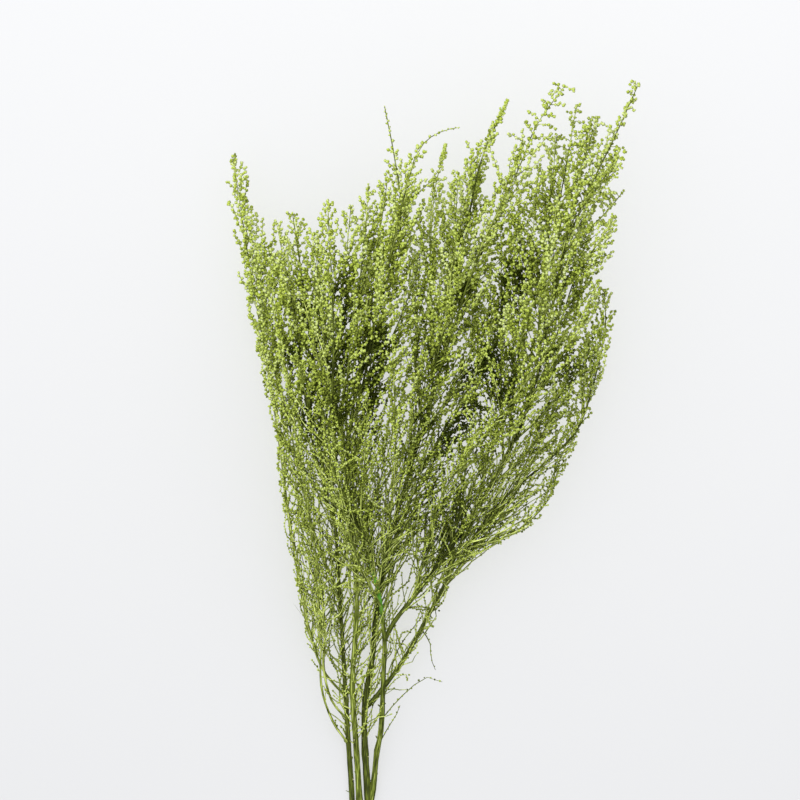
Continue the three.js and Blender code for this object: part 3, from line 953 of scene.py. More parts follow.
ENDINGS = {
    Habit.PLUME: Ending(zone=50, tip_step=2.8, tip_reach=3.5, slope=0.5, tip_bead=0.8, lean=0.78),
    Habit.SPIKE: Ending(zone=34, tip_step=1.5, tip_reach=1, slope=0.25, tip_bead=0.7, lean=0.6,
                        round_beads=3),
    Habit.WHIP: Ending(zone=38, tip_step=2.2, tip_reach=0.0, slope=0.06, tip_bead=0.42, lean=0.65),
    Habit.LOOSE: Ending(zone=66, tip_step=4.2, tip_reach=8, slope=0.24, tip_bead=0.9, lean=0.8, arch=0.8,
                        round_beads=1),
}


@dataclass(frozen=True)
class Kit:
    """The shapes that all fine growth is made of, and the layers that it lies in."""

    heads: list[Stamp]
    bud: Stamp
    sprig: Sleeve
    twiglet: Sleeve
    stub: Sleeve
    cover: Cover


@dataclass
class Growth:
    """The fine growth of one piece: sprigs, twiglets, flower heads, buds, whips, stubs and dry twigs.

    Lengths are in mm and leans in radians out of the twig. A pair is a least and a most value, the
    values in bud and in full head, or two levels on Y.
    """

    kit: Kit
    piece: PieceMesh
    wander: float = 0.13
    bud_wander: float = 2.4
    turn_back: float = 0.3
    twig_gap: float = 1.2
    bead_sizes: Span = (0.8, 1.18)
    bead_pitch: float = 2.7
    bead_leans: Span = (0.7, 1.3)
    bead_sink: float = 0.4
    bead_stray: float = 0.4
    bud_tone: float = 0.72
    tone_stray: float = 0.17
    axis_tone: float = 0.55
    axis_bead_lean: float = 0.95
    round_bead_lean: float = 0.8
    tip_sink: float = 1.4
    small_pitch: float = 0.4
    bare_foot: float = 5.0
    bare_share: float = 0.25
    twiglet_rise: float = 17.0
    twiglet_most: float = 1.9
    twiglet_beads: Span = (0.5, 1.3)
    twiglet_radius: float = 0.26
    twiglet_leans: Span = (0.65, 1.0)
    twiglet_foot: float = 1.4
    twiglet_short: float = 0.6
    twiglet_taper: float = 0.7
    twiglet_gap: float = 0.85
    twiglet_bead_lean: float = 1.2
    bud_twiglets: float = 0.5
    twiglet_pitch: float = 1.75
    twiglet_pull: float = 0.6
    sprig_pitch: float = 3.8
    sprig_thinning: float = 0.5
    thinning_levels: Span = (90.0, 240.0)
    pitch_stray: Span = (0.8, 1.2)
    sprig_reach: float = 56.0
    sprig_reaches: Span = (0.75, 1.15)
    sprig_leans: Span = (0.75, 1.3)
    sprig_slope: float = 0.5
    sprig_pull: float = 1.5
    sprig_steps: int = 5
    sprig_radius: float = 0.6
    sprig_taper: float = 0.11
    reach_widths: Span = (0.8, 1.2)
    bloom_widths: Span = (1.22, 0.95)
    sprig_tones: Span = (0.42, 0.76)
    wood_lifts: Span = (0.25, 0.34)
    arch_out: float = 0.5
    arch_back: float = 0.9
    arches: Span = (0.3, 1.6)
    foot_share: float = 0.5
    foot_length: float = 60.0
    shortest_sprig: float = 2.4
    edge_room: float = 3.0
    upright: float = 0.05
    room_lift: float = 0.6
    crowded_loss: float = 0.5
    edge_weight: float = 0.25
    turns_tried: int = 6
    full_cover: float = 3.1
    whip_pitch: float = 2.0
    whip_pitches: Span = (0.6, 1.4)
    whip_gaps: tuple[float, float, float] = (1.6, 1.0, 2.6)
    whip_reach: float = 88.0
    whip_reaches: Span = (0.35, 1.25)
    whip_leans: Span = (0.3, 1.0)
    shortest_whip: float = 6.0
    low_whips: float = 0.4
    whip_start: float = -255.0
    whip_foot: float = 0.05
    whip_thinning: float = -40.0
    whip_bare: tuple[float, ...] = (0.1, 0.55, 0.85)
    spray_whips: float = 0.7
    stub_pitch: Span = (8.0, 22.0)
    stub_reach: Span = (2.0, 5.5)
    stub_leans: Span = (0.6, 1.1)
    stub_radii: Span = (0.5, 0.85)
    stub_levels: Span = (-305.0, -170.0)
    stub_lift: float = 0.3
    stub_widths: tuple[float, float, float] = (1.4, 1.0, 0.8)
    stub_tone: float = 0.42
    dry_tone: float = 0.4
    dry_foot: float = 8.0
    dry_taper: float = 0.12
    dry_bud: float = 0.95
    dry_lean: float = 0.9
    dry_pitch: Span = (3.0, 6.0)

    def line(self, start: Vector, heading: Vector, pull: Vector, reach: float, steps: int,
             wander: float) -> Route:
        """A thin twig's route, which bends towards a direction, wanders a little and stays in the fan.

        Args:
            start: Its foot.
            heading: The way that it leaves.
            pull: The way that it bends to, as long as the bend is strong.
            reach: Its length.
            steps: How many stretches it has.
            wander: How strongly it wanders.

        Returns:
            The route.
        """
        points = [start]
        way = heading.normalized()
        for _ in range(steps):
            stray = Vector([self.piece.rng.gauss(0.0, wander) for _ in range(3)])
            way = (way + pull / steps + stray).normalized()
            point = points[-1] + way * (reach / steps)
            left, right = fan_edges_at(point.y)
            if not left < point.x < right:
                way.x *= -self.turn_back
                point = points[-1] + way * (reach / steps)
            point.z = min(max(point.z, FLOOR_GAP + self.twig_gap), TOP_LEVEL - self.twig_gap)
            points.append(point)
        return Route(points)

    def bead_on(self, foot: Vector, heading: Vector, radius: float, tone: float) -> None:
        """Sets one flower head, or a bud where it comes out small.

        Args:
            foot: Where it grows.
            heading: The way that it faces.
            radius: Its radius.
            tone: The shade of its sprig, from 0 to 1.
        """
        rng = self.piece.rng
        size = radius * rng.uniform(*self.bead_sizes)
        bead = rng.choice(self.kit.heads) if size > SMALLEST_HEAD else self.kit.bud
        self.kit.cover.add(foot, size)
        tone *= grown(self.bud_tone, 1.0, bloom_at(foot.y))
        tone += rng.uniform(-self.tone_stray, self.tone_stray)
        self.piece.add_bead(bead, foot, heading, size, clamp01(tone))

    def end_bead(self, end: Place, radius: float, tone: float, sink: float) -> None:
        """Sets the last head of a twig, whose foot lies back from its end by a share of its radius."""
        self.bead_on(end.point - end.tangent * radius * sink, end.tangent, radius, tone)

    def twiglet(self, place: Place, turn: float, count: int, radius: float, tone: float) -> None:
        """A short side twig with a few heads, the last one at its end.

        Args:
            place: Its foot.
            turn: Its turn round the sprig.
            count: Number of its heads.
            radius: Radius of a head.
            tone: The shade of its sprig, from 0 to 1.
        """
        rng = self.piece.rng
        heading = place.leaning(turn, rng.uniform(*self.twiglet_leans))
        reach = self.twiglet_foot + (count - self.twiglet_short) * radius * self.twiglet_pitch
        route = self.line(place.point, heading, place.tangent * self.twiglet_pull, reach, 1, self.wander)
        radii = [self.twiglet_radius, self.twiglet_radius * self.twiglet_taper]
        self.kit.twiglet.draw(self.piece, route, radii, tone)
        for k in range(count - 1):
            spot = route.at(reach - (k + self.twiglet_gap) * radius * self.twiglet_pitch)
            way = spot.leaning(rng.uniform(0.0, math.tau), self.twiglet_bead_lean)
            self.bead_on(spot.point, way, radius, tone)
        self.end_bead(route.at(reach), radius, tone, self.bead_sink)

    def sprig_wood(self, place: Place, turn: float, reach: float, lean: float, arch: float,
                   tone: float) -> Route:
        """Draws the thin wood of a side sprig.

        Args:
            place: Its foot on the axis.
            turn: Its turn round the axis.
            reach: Its length.
            lean: How far it leans out of the axis.
            arch: How strongly it arches over instead of bending up.
            tone: The shade of the sprig, from 0 to 1.

        Returns:
            The line that it follows.
        """
        in_flower = bloom_at(place.point.y)
        pull = place.tangent * self.sprig_pull * reach / self.sprig_reach
        if arch:
            pull = (place.outward(turn) * self.arch_out - place.tangent * self.arch_back) * arch
        wander = self.wander * grown(self.bud_wander, 1.0, in_flower)
        route = self.line(place.point, place.leaning(turn, lean), pull, reach, self.sprig_steps, wander)
        width = self.sprig_radius * grown(*self.reach_widths, min(1.0, reach / self.whip_reach))
        width *= grown(*self.bloom_widths, in_flower)
        radii = [width * (1.0 - self.sprig_taper * i) for i in range(self.sprig_steps + 1)]
        self.kit.sprig.draw(self.piece, route, radii, tone + grown(*self.wood_lifts, in_flower))
        return route

    def sprig(self, place: Place, turn: float, reach: float, radius: float, lean: float,
              arch: float = 0.0, bare: float = 0.0) -> None:
        """A side sprig: heads in turn along it, on twiglets where it is long enough.

        Args:
            place: Its foot on the axis.
            turn: Its turn round the axis.
            reach: Its length.
            radius: Radius of its heads.
            lean: How far it leans out of the axis.
            arch: How strongly it arches over instead of bending up.
            bare: Share of the heads that are missing, from 0 to 1.
        """
        rng = self.piece.rng
        tone = rng.uniform(*self.sprig_tones)
        route = self.sprig_wood(place, turn, reach, lean, arch, tone)
        full = HEAD_RADIUS * size_at(place.point.y)
        pitch = self.bead_pitch * (self.small_pitch + (1.0 - self.small_pitch) * radius / full)
        start = min(self.bare_foot, reach * self.bare_share)
        count = max(1, round((reach - start) / pitch))
        for k in range(count):
            if rng.random() < bare:
                continue
            length = start + (k + rng.uniform(0.0, self.bead_stray)) * (reach - start) / count
            spot = route.at(length)
            around = turn + k * GOLDEN_ANGLE + rng.uniform(-self.bead_stray, self.bead_stray)
            most = min(self.twiglet_most, (reach - length) / self.twiglet_rise)
            most *= grown(self.bud_twiglets, 1.0, bloom_at(place.point.y))
            heads = round(most * rng.uniform(*self.twiglet_beads))
            if heads >= 2:
                self.twiglet(spot, around, heads, radius, tone)
            else:
                self.bead_on(spot.point, spot.leaning(around, rng.uniform(*self.bead_leans)), radius, tone)
        self.end_bead(route.at(reach), radius, tone, self.bead_sink)

    def reach_within(self, place: Place, way: Vector, reach: float) -> float:
        """A sprig's length, cut down where it would leave the fan.

        Args:
            place: Its foot.
            way: The way that it goes.
            reach: The length that it would have.

        Returns:
            The length.
        """
        left, right = fan_edges_at(place.point.y + way.y * reach)
        if abs(way.x) < self.upright:
            return reach
        edge = right - self.edge_room if way.x > 0.0 else left + self.edge_room
        return min(reach, max((edge - place.point.x) / way.x, self.edge_room))

    def find_room(self, place: Place, turn: float, lean: float, reach: float) -> tuple[float, float]:
        """The turn at which a sprig finds most room, as shoots turn to the light.

        Args:
            place: Its foot.
            turn: The turn that it would have on its own.
            lean: How far it leans out.
            reach: The length that it would have.

        Returns:
            The turn, and the length within the fan, shorter where there is little room.
        """
        choices = []
        for k in range(self.turns_tried):
            tried = turn + math.tau * k / self.turns_tried
            way = (place.leaning(tried, lean) + place.tangent * self.room_lift).normalized()
            length = self.reach_within(place, way, reach)
            layers = self.kit.cover.along(place.point, way * length)
            choices.append((layers + self.edge_weight * (1.0 - length / reach), tried, length))
        layers, tried, length = min(choices)
        return tried, length * (1.0 - self.crowded_loss * clamp01(layers / self.full_cover))

    def reach_at(self, axis: Axis, length: float) -> float:
        """The mean length of the sprigs at a length along an axis: long in its middle, short at its ends.

        Args:
            axis: The axis.
            length: Distance from its foot.

        Returns:
            The sprigs' length.
        """
        ending = ENDINGS[axis.habit]
        to_tip = axis.route.length - length
        foot = grown(self.foot_share, 1.0, clamp01((length - axis.leafy_start) / self.foot_length))
        reach = ending.tip_reach + ending.slope * min(to_tip, ending.zone)
        reach += self.sprig_slope * max(0.0, to_tip - ending.zone)
        return min(reach, self.sprig_reach * foot)

    def pitch_at(self, level: float) -> float:
        """The mean distance between two sprigs at a level on Y, wider towards the top."""
        low, high = self.thinning_levels
        return self.sprig_pitch * (1.0 + self.sprig_thinning * clamp01((level - low) / (high - low)))

    def round_beads(self, place: Place, turn: float, radius: float, count: int) -> None:
        """Sets heads on the axis itself, in even steps round it from the turn of a sprig.

        Args:
            place: Where they grow.
            turn: The sprig's turn round the axis.
            radius: Radius of a head.
            count: Number of them.
        """
        for k in range(count):
            around = turn + math.tau * (k + 1) / (count + 1)
            self.bead_on(place.point, place.leaning(around, self.round_bead_lean), radius, self.axis_tone)

    def dress(self, axis: Axis, start_turn: float) -> None:
        """Grows the sprigs and heads of an axis, from where its flowers begin to its tip.

        Args:
            axis: The axis.
            start_turn: The turn round the axis of the first sprig.
        """
        rng = self.piece.rng
        ending = ENDINGS[axis.habit]
        length = axis.leafy_start
        turn = start_turn
        while length < axis.route.length - 1.0:
            share = ending.share(axis.route.length - length)
            place = axis.route.at(length)
            radius = HEAD_RADIUS * size_at(place.point.y) * grown(ending.tip_bead, 1.0, share)
            reach = self.reach_at(axis, length) * rng.uniform(*self.sprig_reaches)
            lean = ending.lean * rng.uniform(*self.sprig_leans)
            around = turn
            if axis.habit is not Habit.SPIKE or share == 1.0:
                around, reach = self.find_room(place, turn, lean, reach)
            if reach > radius * self.shortest_sprig:
                arch = ending.arch if share < 1.0 else 0.0
                self.sprig(place, around, reach, radius, lean, arch * rng.uniform(*self.arches))
            else:
                self.bead_on(place.point, place.leaning(turn, self.axis_bead_lean), radius, self.axis_tone)
            if share < 1.0:
                self.round_beads(place, turn, radius, ending.round_beads)
            pitch = grown(ending.tip_step, self.pitch_at(place.point.y), share * share)
            length += pitch * rng.uniform(*self.pitch_stray)
            turn += GOLDEN_ANGLE
        end = axis.route.at(axis.route.length)
        radius = HEAD_RADIUS * size_at(end.point.y) * ending.tip_bead
        self.end_bead(end, radius, self.axis_tone, self.tip_sink)

    def whips(self, axis: Axis, start_turn: float) -> None:
        """Long thin side twigs with small buds, up to where the axis bears its flowers.

        They begin low down, or at the fresh stretch of an axis that has one.

        Args:
            axis: The axis.
            start_turn: The turn round the axis of the first twig.
        """
        rng = self.piece.rng
        share = 1.0 if axis.is_stem else self.spray_whips
        level = axis.fresh[0] if axis.fresh else self.whip_start * share
        length = max(axis.route.length_at_level(level), axis.route.length * self.whip_foot)
        low_gap, high_gap, top_gap = self.whip_gaps
        turn = start_turn
        while length < axis.leafy_start:
            place = axis.route.at(length)
            height = clamp01((place.point.y - self.whip_start) / (LEAF_LEVEL - self.whip_start))
            reach = self.whip_reach * share * grown(self.low_whips, 1.0, height)
            reach *= rng.uniform(*self.whip_reaches)
            lean = rng.uniform(*self.whip_leans)
            around, reach = self.find_room(place, turn, lean, reach)
            if reach > self.shortest_whip:
                radius = HEAD_RADIUS * size_at(place.point.y + reach * 0.5)
                self.sprig(place, around, reach, radius, lean, bare=rng.choice(self.whip_bare))
            gap = top_gap if place.point.y > self.whip_thinning else grown(low_gap, high_gap, height)
            length += self.whip_pitch * gap * rng.uniform(*self.whip_pitches)
            turn += GOLDEN_ANGLE

    def stubs(self, axis: Axis) -> None:
        """Short stubs of broken twigs on the bare lower wood of a stem.

        Args:
            axis: The stem.
        """
        rng = self.piece.rng
        start, end = (axis.route.length_at_level(level) for level in self.stub_levels)
        length = start + rng.uniform(*self.stub_pitch)
        while length < end:
            place = axis.route.at(length)
            heading = place.leaning(rng.uniform(0.0, math.tau), rng.uniform(*self.stub_leans))
            width = rng.uniform(*self.stub_radii)
            reach = axis.wood_radius(length) + rng.uniform(*self.stub_reach)
            route = self.line(place.point, heading, place.tangent * self.stub_lift, reach, 2, self.wander)
            radii = [width * share for share in self.stub_widths]
            self.kit.stub.draw(self.piece, route, radii, self.stub_tone)
            length += rng.uniform(*self.stub_pitch)

    def dry_twig(self, stem: Axis, row: TwigRow) -> None:
        """A dry twig low down on a stem, with small buds, or a dry hair without any.

        Args:
            stem: The stem that it grows from.
            row: Where it grows and passes.
        """
        root = stem.route.at(stem.route.length_at_level(row.level)).point
        route = Route.smooth([root, *(Vector(point) for point in row.route)])
        radii = [row.radius * (1.0 - self.dry_taper * i) for i in range(self.sprig_steps + 1)]
        self.kit.sprig.draw(self.piece, route, radii, self.dry_tone)
        length = self.dry_foot if row.has_buds else route.length
        while length < route.length:
            spot = route.at(length)
            way = spot.leaning(self.piece.rng.uniform(0.0, math.tau), self.dry_lean)
            self.bead_on(spot.point, way, self.dry_bud, self.dry_tone)
            length += self.piece.rng.uniform(*self.dry_pitch)


@dataclass
class Timber:
    """The wood of an axis: its tube, with a station every few millimetres."""

    stem_sides: int = 10
    spray_sides: int = 6
    rib: float = 0.045
    station: float = 9.0
    fewest_steps: int = 4
    swells: Span = (-0.05, 0.07)
    knot_chance: float = 0.16
    knot_swell: float = 0.15

    def draw(self, piece: PieceMesh, axis: Axis) -> None:
        """Draws the wood of an axis, with slight swellings along it.

        Args:
            piece: The piece that it belongs to.
            axis: The axis.
        """
        sides, rib = (self.stem_sides, self.rib) if axis.is_stem else (self.spray_sides, 0.0)
        steps = max(self.fewest_steps, round(axis.route.length / self.station))
        sleeve = Sleeve(f"{piece.name}_wood", sides, steps, rib, Coat.PITH)
        if axis.fresh:
            sleeve.mark_fresh(axis.route, *axis.fresh)
        radii = []
        for i in range(steps + 1):
            swell = 1.0 + piece.rng.uniform(*self.swells)
            if piece.rng.random() < self.knot_chance:
                swell += self.knot_swell
            radii.append(axis.wood_radius(axis.route.length * i / steps) * swell)
        sleeve.draw(piece, axis.route, radii, axis.tone)


class Nodes:
    """Adds nodes to a material or node group, and joins them."""

    def __init__(self, tree: bpy.types.NodeTree) -> None:
        """Starts from a tree with nothing in it.

        Args:
            tree: The node tree.
        """
        self.tree = tree
        tree.nodes.clear()

    def add(self, kind: str, inputs: dict | None = None, **settings: object) -> bpy.types.Node:
        """Adds a node.

        Args:
            kind: The node's type.
            inputs: Values or sockets for its inputs, by name or index.
            settings: The node's own settings.

        Returns:
            The node.
        """
        node = self.tree.nodes.new(kind)
        for name, value in settings.items():
            setattr(node, name, value)
        for name, value in (inputs or {}).items():
            if isinstance(value, bpy.types.NodeSocket):
                self.tree.links.new(value, node.inputs[name])
            else:
                node.inputs[name].default_value = value
        return node

    def attribute(self, name: str, output: str = "Fac") -> bpy.types.NodeSocket:
        """What the mesh says at every spot, as a value or as a vector."""
        return self.add("ShaderNodeAttribute", attribute_name=name).outputs[output]

    def math(self, operation: str, *values: bpy.types.NodeSocket | float) -> bpy.types.NodeSocket:
        """The result of a sum on values or sockets."""
        return self.add("ShaderNodeMath", dict(enumerate(values)), operation=operation).outputs[0]


def group_of(name: str, sockets: dict[str, str], results: dict[str, str]) -> bpy.types.NodeTree:
    """An empty shader node group with named sockets.

    Args:
        name: Name of the group.
        sockets: Its inputs, with their socket types.
        results: Its outputs, with their socket types.

    Returns:
        The group.
    """
    tree = bpy.data.node_groups.new(name, "ShaderNodeTree")
    for label, kind in sockets.items():
        tree.interface.new_socket(label, in_out="INPUT", socket_type=kind)
    for label, kind in results.items():
        tree.interface.new_socket(label, in_out="OUTPUT", socket_type=kind)
    return tree


def mottle_group() -> bpy.types.NodeTree:
    """Patches of shade over a surface: a soft noise between 0 and 1, and a normal that follows it.

    Returns:
        The node group.
    """
    tree = group_of(
        "mottle",
        {"Vector": "NodeSocketVector", "Scale": "NodeSocketFloat", "Detail": "NodeSocketFloat",
         "Relief": "NodeSocketFloat"},
        {"Mask": "NodeSocketFloat", "Normal": "NodeSocketVector"})
    nodes = Nodes(tree)
    entry = nodes.add("NodeGroupInput").outputs
    noise = nodes.add("ShaderNodeTexNoise", {
        "Vector": entry["Vector"], "Scale": entry["Scale"], "Detail": entry["Detail"]})
    spread = nodes.add("ShaderNodeMapRange", {
        "Value": noise.outputs["Fac"], "From Min": MOTTLE_SPAN[0], "From Max": MOTTLE_SPAN[1]})
    bump = nodes.add("ShaderNodeBump", {
        "Strength": 1.0, "Distance": entry["Relief"], "Height": noise.outputs["Fac"]})
    nodes.add("NodeGroupOutput", {"Mask": spread.outputs["Result"], "Normal": bump.outputs["Normal"]})
    return tree


@dataclass(frozen=True)
class Finish:
    """A mottled surface: its colours along a ramp, its pattern, how matt it is and how it shines."""

    name: str
    stops: tuple[tuple[float, Colour], ...]
    scale: float
    detail: float
    relief: float
    rough: Span
    specular: float
    stretch: float = 1.0

    def material(self, mottle: bpy.types.NodeTree) -> bpy.types.Material:
        """The material of this finish.

        Args:
            mottle: The node group for patches of shade.

        Returns:
            The material.
        """
        material = bpy.data.materials.new(self.name)
        material.use_nodes = True
        nodes = Nodes(material.node_tree)
        stretched = nodes.add("ShaderNodeMapping", {
            "Vector": nodes.attribute("grain", "Vector"), "Scale": (1.0, 1.0, self.stretch)})
        pattern = nodes.add("ShaderNodeGroup", {
            "Vector": stretched.outputs["Vector"], "Scale": self.scale, "Detail": self.detail,
            "Relief": self.relief}, node_tree=mottle).outputs
        ramp = nodes.add("ShaderNodeValToRGB", {"Fac": self.shade(nodes, pattern["Mask"])})
        fill_ramp(ramp, self.stops)
        rough = nodes.add("ShaderNodeMapRange", {
            "Value": pattern["Mask"], "To Min": self.rough[0], "To Max": self.rough[1]})
        shader = nodes.add("ShaderNodeBsdfPrincipled", {
            "Base Color": self.colour(nodes, ramp.outputs["Color"]), "Roughness": rough.outputs["Result"],
            "Specular IOR Level": self.specular, "Normal": pattern["Normal"]})
        nodes.add("ShaderNodeOutputMaterial", {"Surface": shader.outputs["BSDF"]})
        return material

    def shade(self, nodes: "Nodes", mask: bpy.types.NodeSocket) -> bpy.types.NodeSocket:
        """Where every spot lies on the ramp: here, as the pattern says."""
        return mask

    def colour(self, nodes: "Nodes", colour: bpy.types.NodeSocket) -> bpy.types.NodeSocket:
        """What the shader gets for the ramp's colour: here, the same."""
        return colour


@dataclass(frozen=True)
class HeadFinish(Finish):
    """Felted, dyed flower heads, with painted shade between the bracts and a painted highlight on their tips.
    """

    name: str = "flower_head"
    stops: tuple[tuple[float, Colour], ...] = (
        (0.12, (0.022, 0.032, 0.001)), (0.42, (0.35, 0.43, 0.055)), (0.82, (0.505, 0.55, 0.285)))
    scale: float = 1.1
    detail: float = 3.0
    relief: float = 0.00025
    rough: Span = (0.62, 0.85)
    specular: float = 0.06
    least: float = 0.44
    painted_light_share: float = 0.48
    felt_share: float = 0.28

    def shade(self, nodes: "Nodes", mask: bpy.types.NodeSocket) -> bpy.types.NodeSocket:
        """A painted highlight where a bract stands out, paler where the felt is thick, and darker on a darker
        head and where shade is painted deep in the bunch.
        """
        # Painted highlight on the bracts and painted shade between them, then the tone with its painted inner
        # shade
        painted_relief = nodes.math("MULTIPLY_ADD", nodes.attribute("painted_light"), self.painted_light_share, self.least)
        felted = nodes.math("MULTIPLY_ADD", mask, self.felt_share, painted_relief)
        return nodes.math("MULTIPLY", felted, nodes.attribute("tone"))


@dataclass(frozen=True)
class BarkFinish(Finish):
    """Dyed bark with pale and dark streaks along the grain, fresh and green on one stretch."""

    name: str = "dyed_bark"
    stops: tuple[tuple[float, Colour], ...] = (
        (0.15, (0.03, 0.038, 0.005)), (0.5, (0.15, 0.19, 0.025)), (0.92, (0.60, 0.68, 0.19)))
    scale: float = 1.3
    detail: float = 4.0
    relief: float = 0.0003
    rough: Span = (0.5, 0.72)
    specular: float = 0.08
    stretch: float = 0.06
    least: float = 0.1
    streak_share: float = 1.38
    fresh: Colour = (0.12, 0.38, 0.04)

    def shade(self, nodes: "Nodes", mask: bpy.types.NodeSocket) -> bpy.types.NodeSocket:
        """Pale along the streaks, and darker on darker wood and where shade is painted deep in the bunch."""
        streaked = nodes.math("MULTIPLY_ADD", mask, self.streak_share, self.least)
        # The tone holds the wood's own shade and the painted shade deep in the bunch
        return nodes.math("MULTIPLY", streaked, nodes.attribute("tone"))

    def colour(self, nodes: "Nodes", colour: bpy.types.NodeSocket) -> bpy.types.NodeSocket:
        """The dyed colour, or the fresh green where the wood is marked as fresh."""
        mix = nodes.add("ShaderNodeMix", {
            "Factor": nodes.attribute("fresh"), 6: colour, 7: (*self.fresh, 1.0)}, data_type="RGBA")
        return mix.outputs[2]


@dataclass(frozen=True)
class PithFinish(Finish):
    """Pale wood where a stem was cut or a twig broke."""

    name: str = "pale_pith"
    stops: tuple[tuple[float, Colour], ...] = ((0.1, (0.30, 0.26, 0.11)), (0.7, (0.62, 0.56, 0.33)))
    scale: float = 2.4
    detail: float = 3.0
    relief: float = 0.0001
    rough: Span = (0.6, 0.8)
    specular: float = 0.5


def fill_ramp(ramp: bpy.types.Node, stops: tuple[tuple[float, Colour], ...]) -> None:
    """Gives a colour ramp its stops.

    Args:
        ramp: The ramp's node.
        stops: Places from 0 to 1, each with its colour.
    """
    elements = ramp.color_ramp.elements
    while len(elements) < len(stops):
        elements.new(0.5)
    for element, (place, colour) in zip(elements, stops):
        element.position = place
        element.color = (*colour, 1.0)


@dataclass(frozen=True)
class Softbox:
    """A square soft light that faces the middle of the bunch."""

    name: str
    place: tuple[float, float, float]
    size: float
    power: float

    def hang(self, target: Vector) -> bpy.types.Object:
        """Makes the light.

        Args:
            target: The point that it faces.

        Returns:
            Its object.
        """
        light = bpy.data.lights.new(self.name, "AREA")
        light.size = self.size
        light.energy = self.power
        lamp = bpy.data.objects.new(self.name, light)
        lamp.location = self.place
        aim = target - Vector(self.place)
        lamp.rotation_euler = aim.to_track_quat("-Z", "Y").to_euler()
        bpy.context.scene.collection.objects.link(lamp)
        return lamp


@dataclass(frozen=True)
class Studio:
    """A plain pale floor, soft light and a camera that looks straight down on the bunch."""

    floor_size: float = 14.0
    floor_tone: Colour = (0.62, 0.62, 0.625)
    floor_roughness: float = 0.9
    world_tone: Colour = (0.95, 0.97, 1.0)
    world_strength: float = 0.5
    centre: tuple[float, float] = (-0.03105, 0.0567)
    camera_height: float = 12.0
    view_width: float = 0.72
    view_level: float = 0.06
    sensor: float = 36.0
    key: Softbox = Softbox("key", (-1.5, 1.7, 2.3), 0.8, 92.0)
    front: Softbox = Softbox("front", (-0.2, 0.4, 4.5), 0.5, 134.0)
    backdrop: Softbox = Softbox("backdrop", (0.0, 2.0, 4.2), 2.0, 242.0)

    def build(self) -> None:
        """Makes the floor, the lights and the camera."""
        floor = self.floor()
        self.world()
        target = Vector((*self.centre, 0.0))
        floor_only = self.link_state("floor_lit", floor, "INCLUDE")
        all_but_floor = self.link_state("bunch_lit", floor, "EXCLUDE")
        for softbox in (self.key, self.front):
            softbox.hang(target).light_linking.receiver_collection = all_but_floor
        backdrop = self.backdrop.hang(target)
        backdrop.light_linking.receiver_collection = floor_only
        backdrop.light_linking.blocker_collection = floor_only
        self.camera()
        bpy.context.scene.view_settings.view_transform = "Standard"

    def link_state(self, name: str, floor: bpy.types.Object, state: str) -> bpy.types.Collection:
        """A collection that says whether a light reaches the floor, as on a lit backdrop.

        Args:
            name: Name of the collection.
            floor: The floor.
            state: INCLUDE or EXCLUDE.

        Returns:
            The collection.
        """
        group = bpy.data.collections.new(name)
        group.objects.link(floor)
        group.collection_objects[0].light_linking.link_state = state
        return group

    def floor(self) -> bpy.types.Object:
        """Makes a wide plain floor that isn't part of the object.

        Returns:
            The floor.
        """
        bm = bmesh.new()
        bmesh.ops.create_grid(bm, x_segments=1, y_segments=1, size=self.floor_size / 2)
        mesh = bpy.data.meshes.new("floor")
        bm.to_mesh(mesh)
        bm.free()
        material = bpy.data.materials.new("floor_paper")
        material.use_nodes = True
        shader = material.node_tree.nodes["Principled BSDF"]
        shader.inputs["Base Color"].default_value = (*self.floor_tone, 1.0)
        shader.inputs["Roughness"].default_value = self.floor_roughness
        mesh.materials.append(material)
        floor = bpy.data.objects.new("floor", mesh)
        bpy.context.scene.collection.objects.link(floor)
        return floor

    def world(self) -> None:
        """An even pale sky."""
        world = bpy.data.worlds.new("studio")
        world.use_nodes = True
        background = world.node_tree.nodes["Background"]
        background.inputs["Color"].default_value = (*self.world_tone, 1.0)
        background.inputs["Strength"].default_value = self.world_strength
        bpy.context.scene.world = world

    def camera(self) -> None:
        """A long lens straight above, with +Y up in the picture."""
        camera = bpy.data.cameras.new("camera")
        camera.sensor_width = self.sensor
        camera.lens = self.sensor * (self.camera_height - self.view_level) / self.view_width
        viewer = bpy.data.objects.new("camera", camera)
        viewer.location = (*self.centre, self.camera_height)
        bpy.context.scene.collection.objects.link(viewer)
        bpy.context.scene.camera = viewer


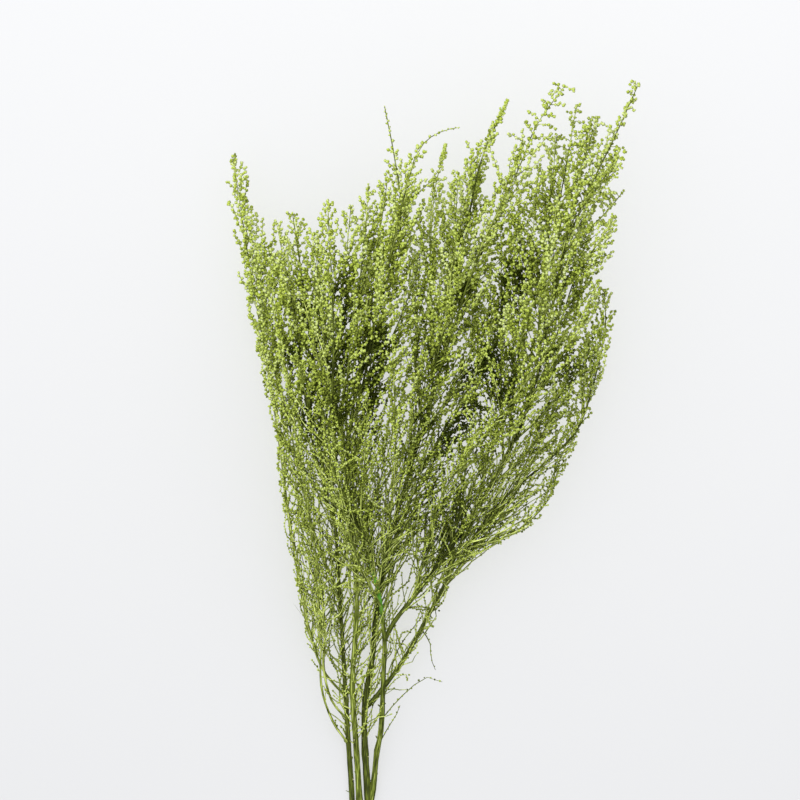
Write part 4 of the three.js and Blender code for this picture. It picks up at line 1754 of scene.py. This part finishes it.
@dataclass
class Bunch:
    """The whole bunch: every stem and spray as a piece that stands for its CAD node."""

    stems: dict[str, Axis]
    sprays: dict[str, Axis]
    kit: Kit
    timber: Timber
    coats: list[bpy.types.Material]
    triangles: int = 0

    def build(self) -> None:
        """Grows every piece, hangs it on the root body and hides the CAD node that it stands for."""
        pieces = [*self.stem_pieces(), *self.spray_pieces()]
        crowding = Crowding(np.array([bead for piece, _, _ in pieces for bead in piece.beads]))
        for piece, node, slot in pieces:
            self.hand_in(piece, node, crowding)
        log.info("%d triangles in all", self.triangles)

    def stem_pieces(self) -> list[tuple[PieceMesh, str, str]]:
        """Grows the woody stems, and those that grew as one in one piece.

        Returns:
            The pieces, each with its CAD node and the record's slot.
        """
        pieces = []
        for number, node in enumerate(dict.fromkeys(row.node for row in STEMS)):
            names = [row.name for row in STEMS if row.node == node]
            growth = Growth(self.kit, PieceMesh(f"{node}_bark", random.Random(SEED + number)))
            for name in names:
                self.grow_axis(growth, self.stems[name])
            for row in DRY_TWIGS:
                if row.stem in names:
                    growth.dry_twig(self.stems[row.stem], row)
            pieces.append((growth.piece, node, "stem"))
        return pieces

    def spray_pieces(self) -> list[tuple[PieceMesh, str, str]]:
        """Grows the sprays, each with its own fine side branches.

        Returns:
            The pieces, each with its CAD node and the record's slot.
        """
        pieces = []
        for number, (node, axis) in enumerate(self.sprays.items()):
            growth = Growth(self.kit, PieceMesh(f"{node}_sprigs", random.Random(SEED * 2 + number)))
            self.grow_axis(growth, axis)
            for row in BOUGHS:
                if row.spray == node:
                    self.grow_bough(growth, axis, row)
            pieces.append((growth.piece, node, "spray"))
        return pieces

    def grow_axis(self, growth: Growth, axis: Axis) -> None:
        """Draws a stem or spray with all that grows on it.

        Args:
            growth: The growth of the piece that it belongs to.
            axis: The stem or spray.
        """
        turn = growth.piece.rng.uniform(0.0, math.tau)
        self.timber.draw(growth.piece, axis)
        growth.whips(axis, turn)
        growth.dress(axis, turn)
        if axis.is_stem:
            growth.stubs(axis)

    def grow_bough(self, growth: Growth, parent: Axis, row: BoughRow) -> None:
        """Draws a fine side branch, grown like a small spray.

        Args:
            growth: The growth of the piece that it belongs to.
            parent: The spray that it grows from.
            row: Where it grows and ends.
        """
        root = parent.route.at(parent.route.length_at_level(row.level))
        tip = Vector(row.tip)
        route = Route.smooth([root.point, *bend(root, tip), tip])
        axis = Axis(route, *BOUGH_RADII, route.length * BOUGH_BARE_SHARE, Habit.PLUME)
        self.timber.draw(growth.piece, axis)
        growth.dress(axis, growth.piece.rng.uniform(0.0, math.tau))

    def hand_in(self, piece: PieceMesh, node: str, crowding: Crowding) -> None:
        """Writes a piece, hangs it on the root body and hides the CAD node that it replaces.

        Args:
            piece: The piece's mesh.
            node: The CAD node that it replaces.
            crowding: How crowded the bunch is, which sets the painted shade.
        """
        made = piece.finish(self.coats, crowding)
        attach(made, BODY)
        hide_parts(node)
        triangles = sum(len(face.vertices) - 2 for face in made.data.polygons)
        self.triangles += triangles
        log.info("%s: %d triangles", made.name, triangles)


def main() -> None:
    """Builds the bunch and its studio."""
    logging.basicConfig(level=logging.INFO, format="%(message)s")
    rng = random.Random(SEED)
    bead = Bead()
    stems, sprays = grow_axes()
    kit = Kit(
        heads=[bead.head(f"head_{k}", rng) for k in range(HEAD_FORMS)],
        bud=bead.bud("bud"),
        sprig=Sleeve("sprig", 3, 5),
        twiglet=Sleeve("twiglet", 3, 1),
        stub=Sleeve("stub", 5, 2, ends=Coat.PITH),
        cover=Cover(),
    )
    mottle = mottle_group()
    coats = [finish.material(mottle) for finish in (BarkFinish(), HeadFinish(), PithFinish())]
    Bunch(stems, sprays, kit, Timber(), coats).build()
    Studio().build()


if __name__ == "__main__":
    main()
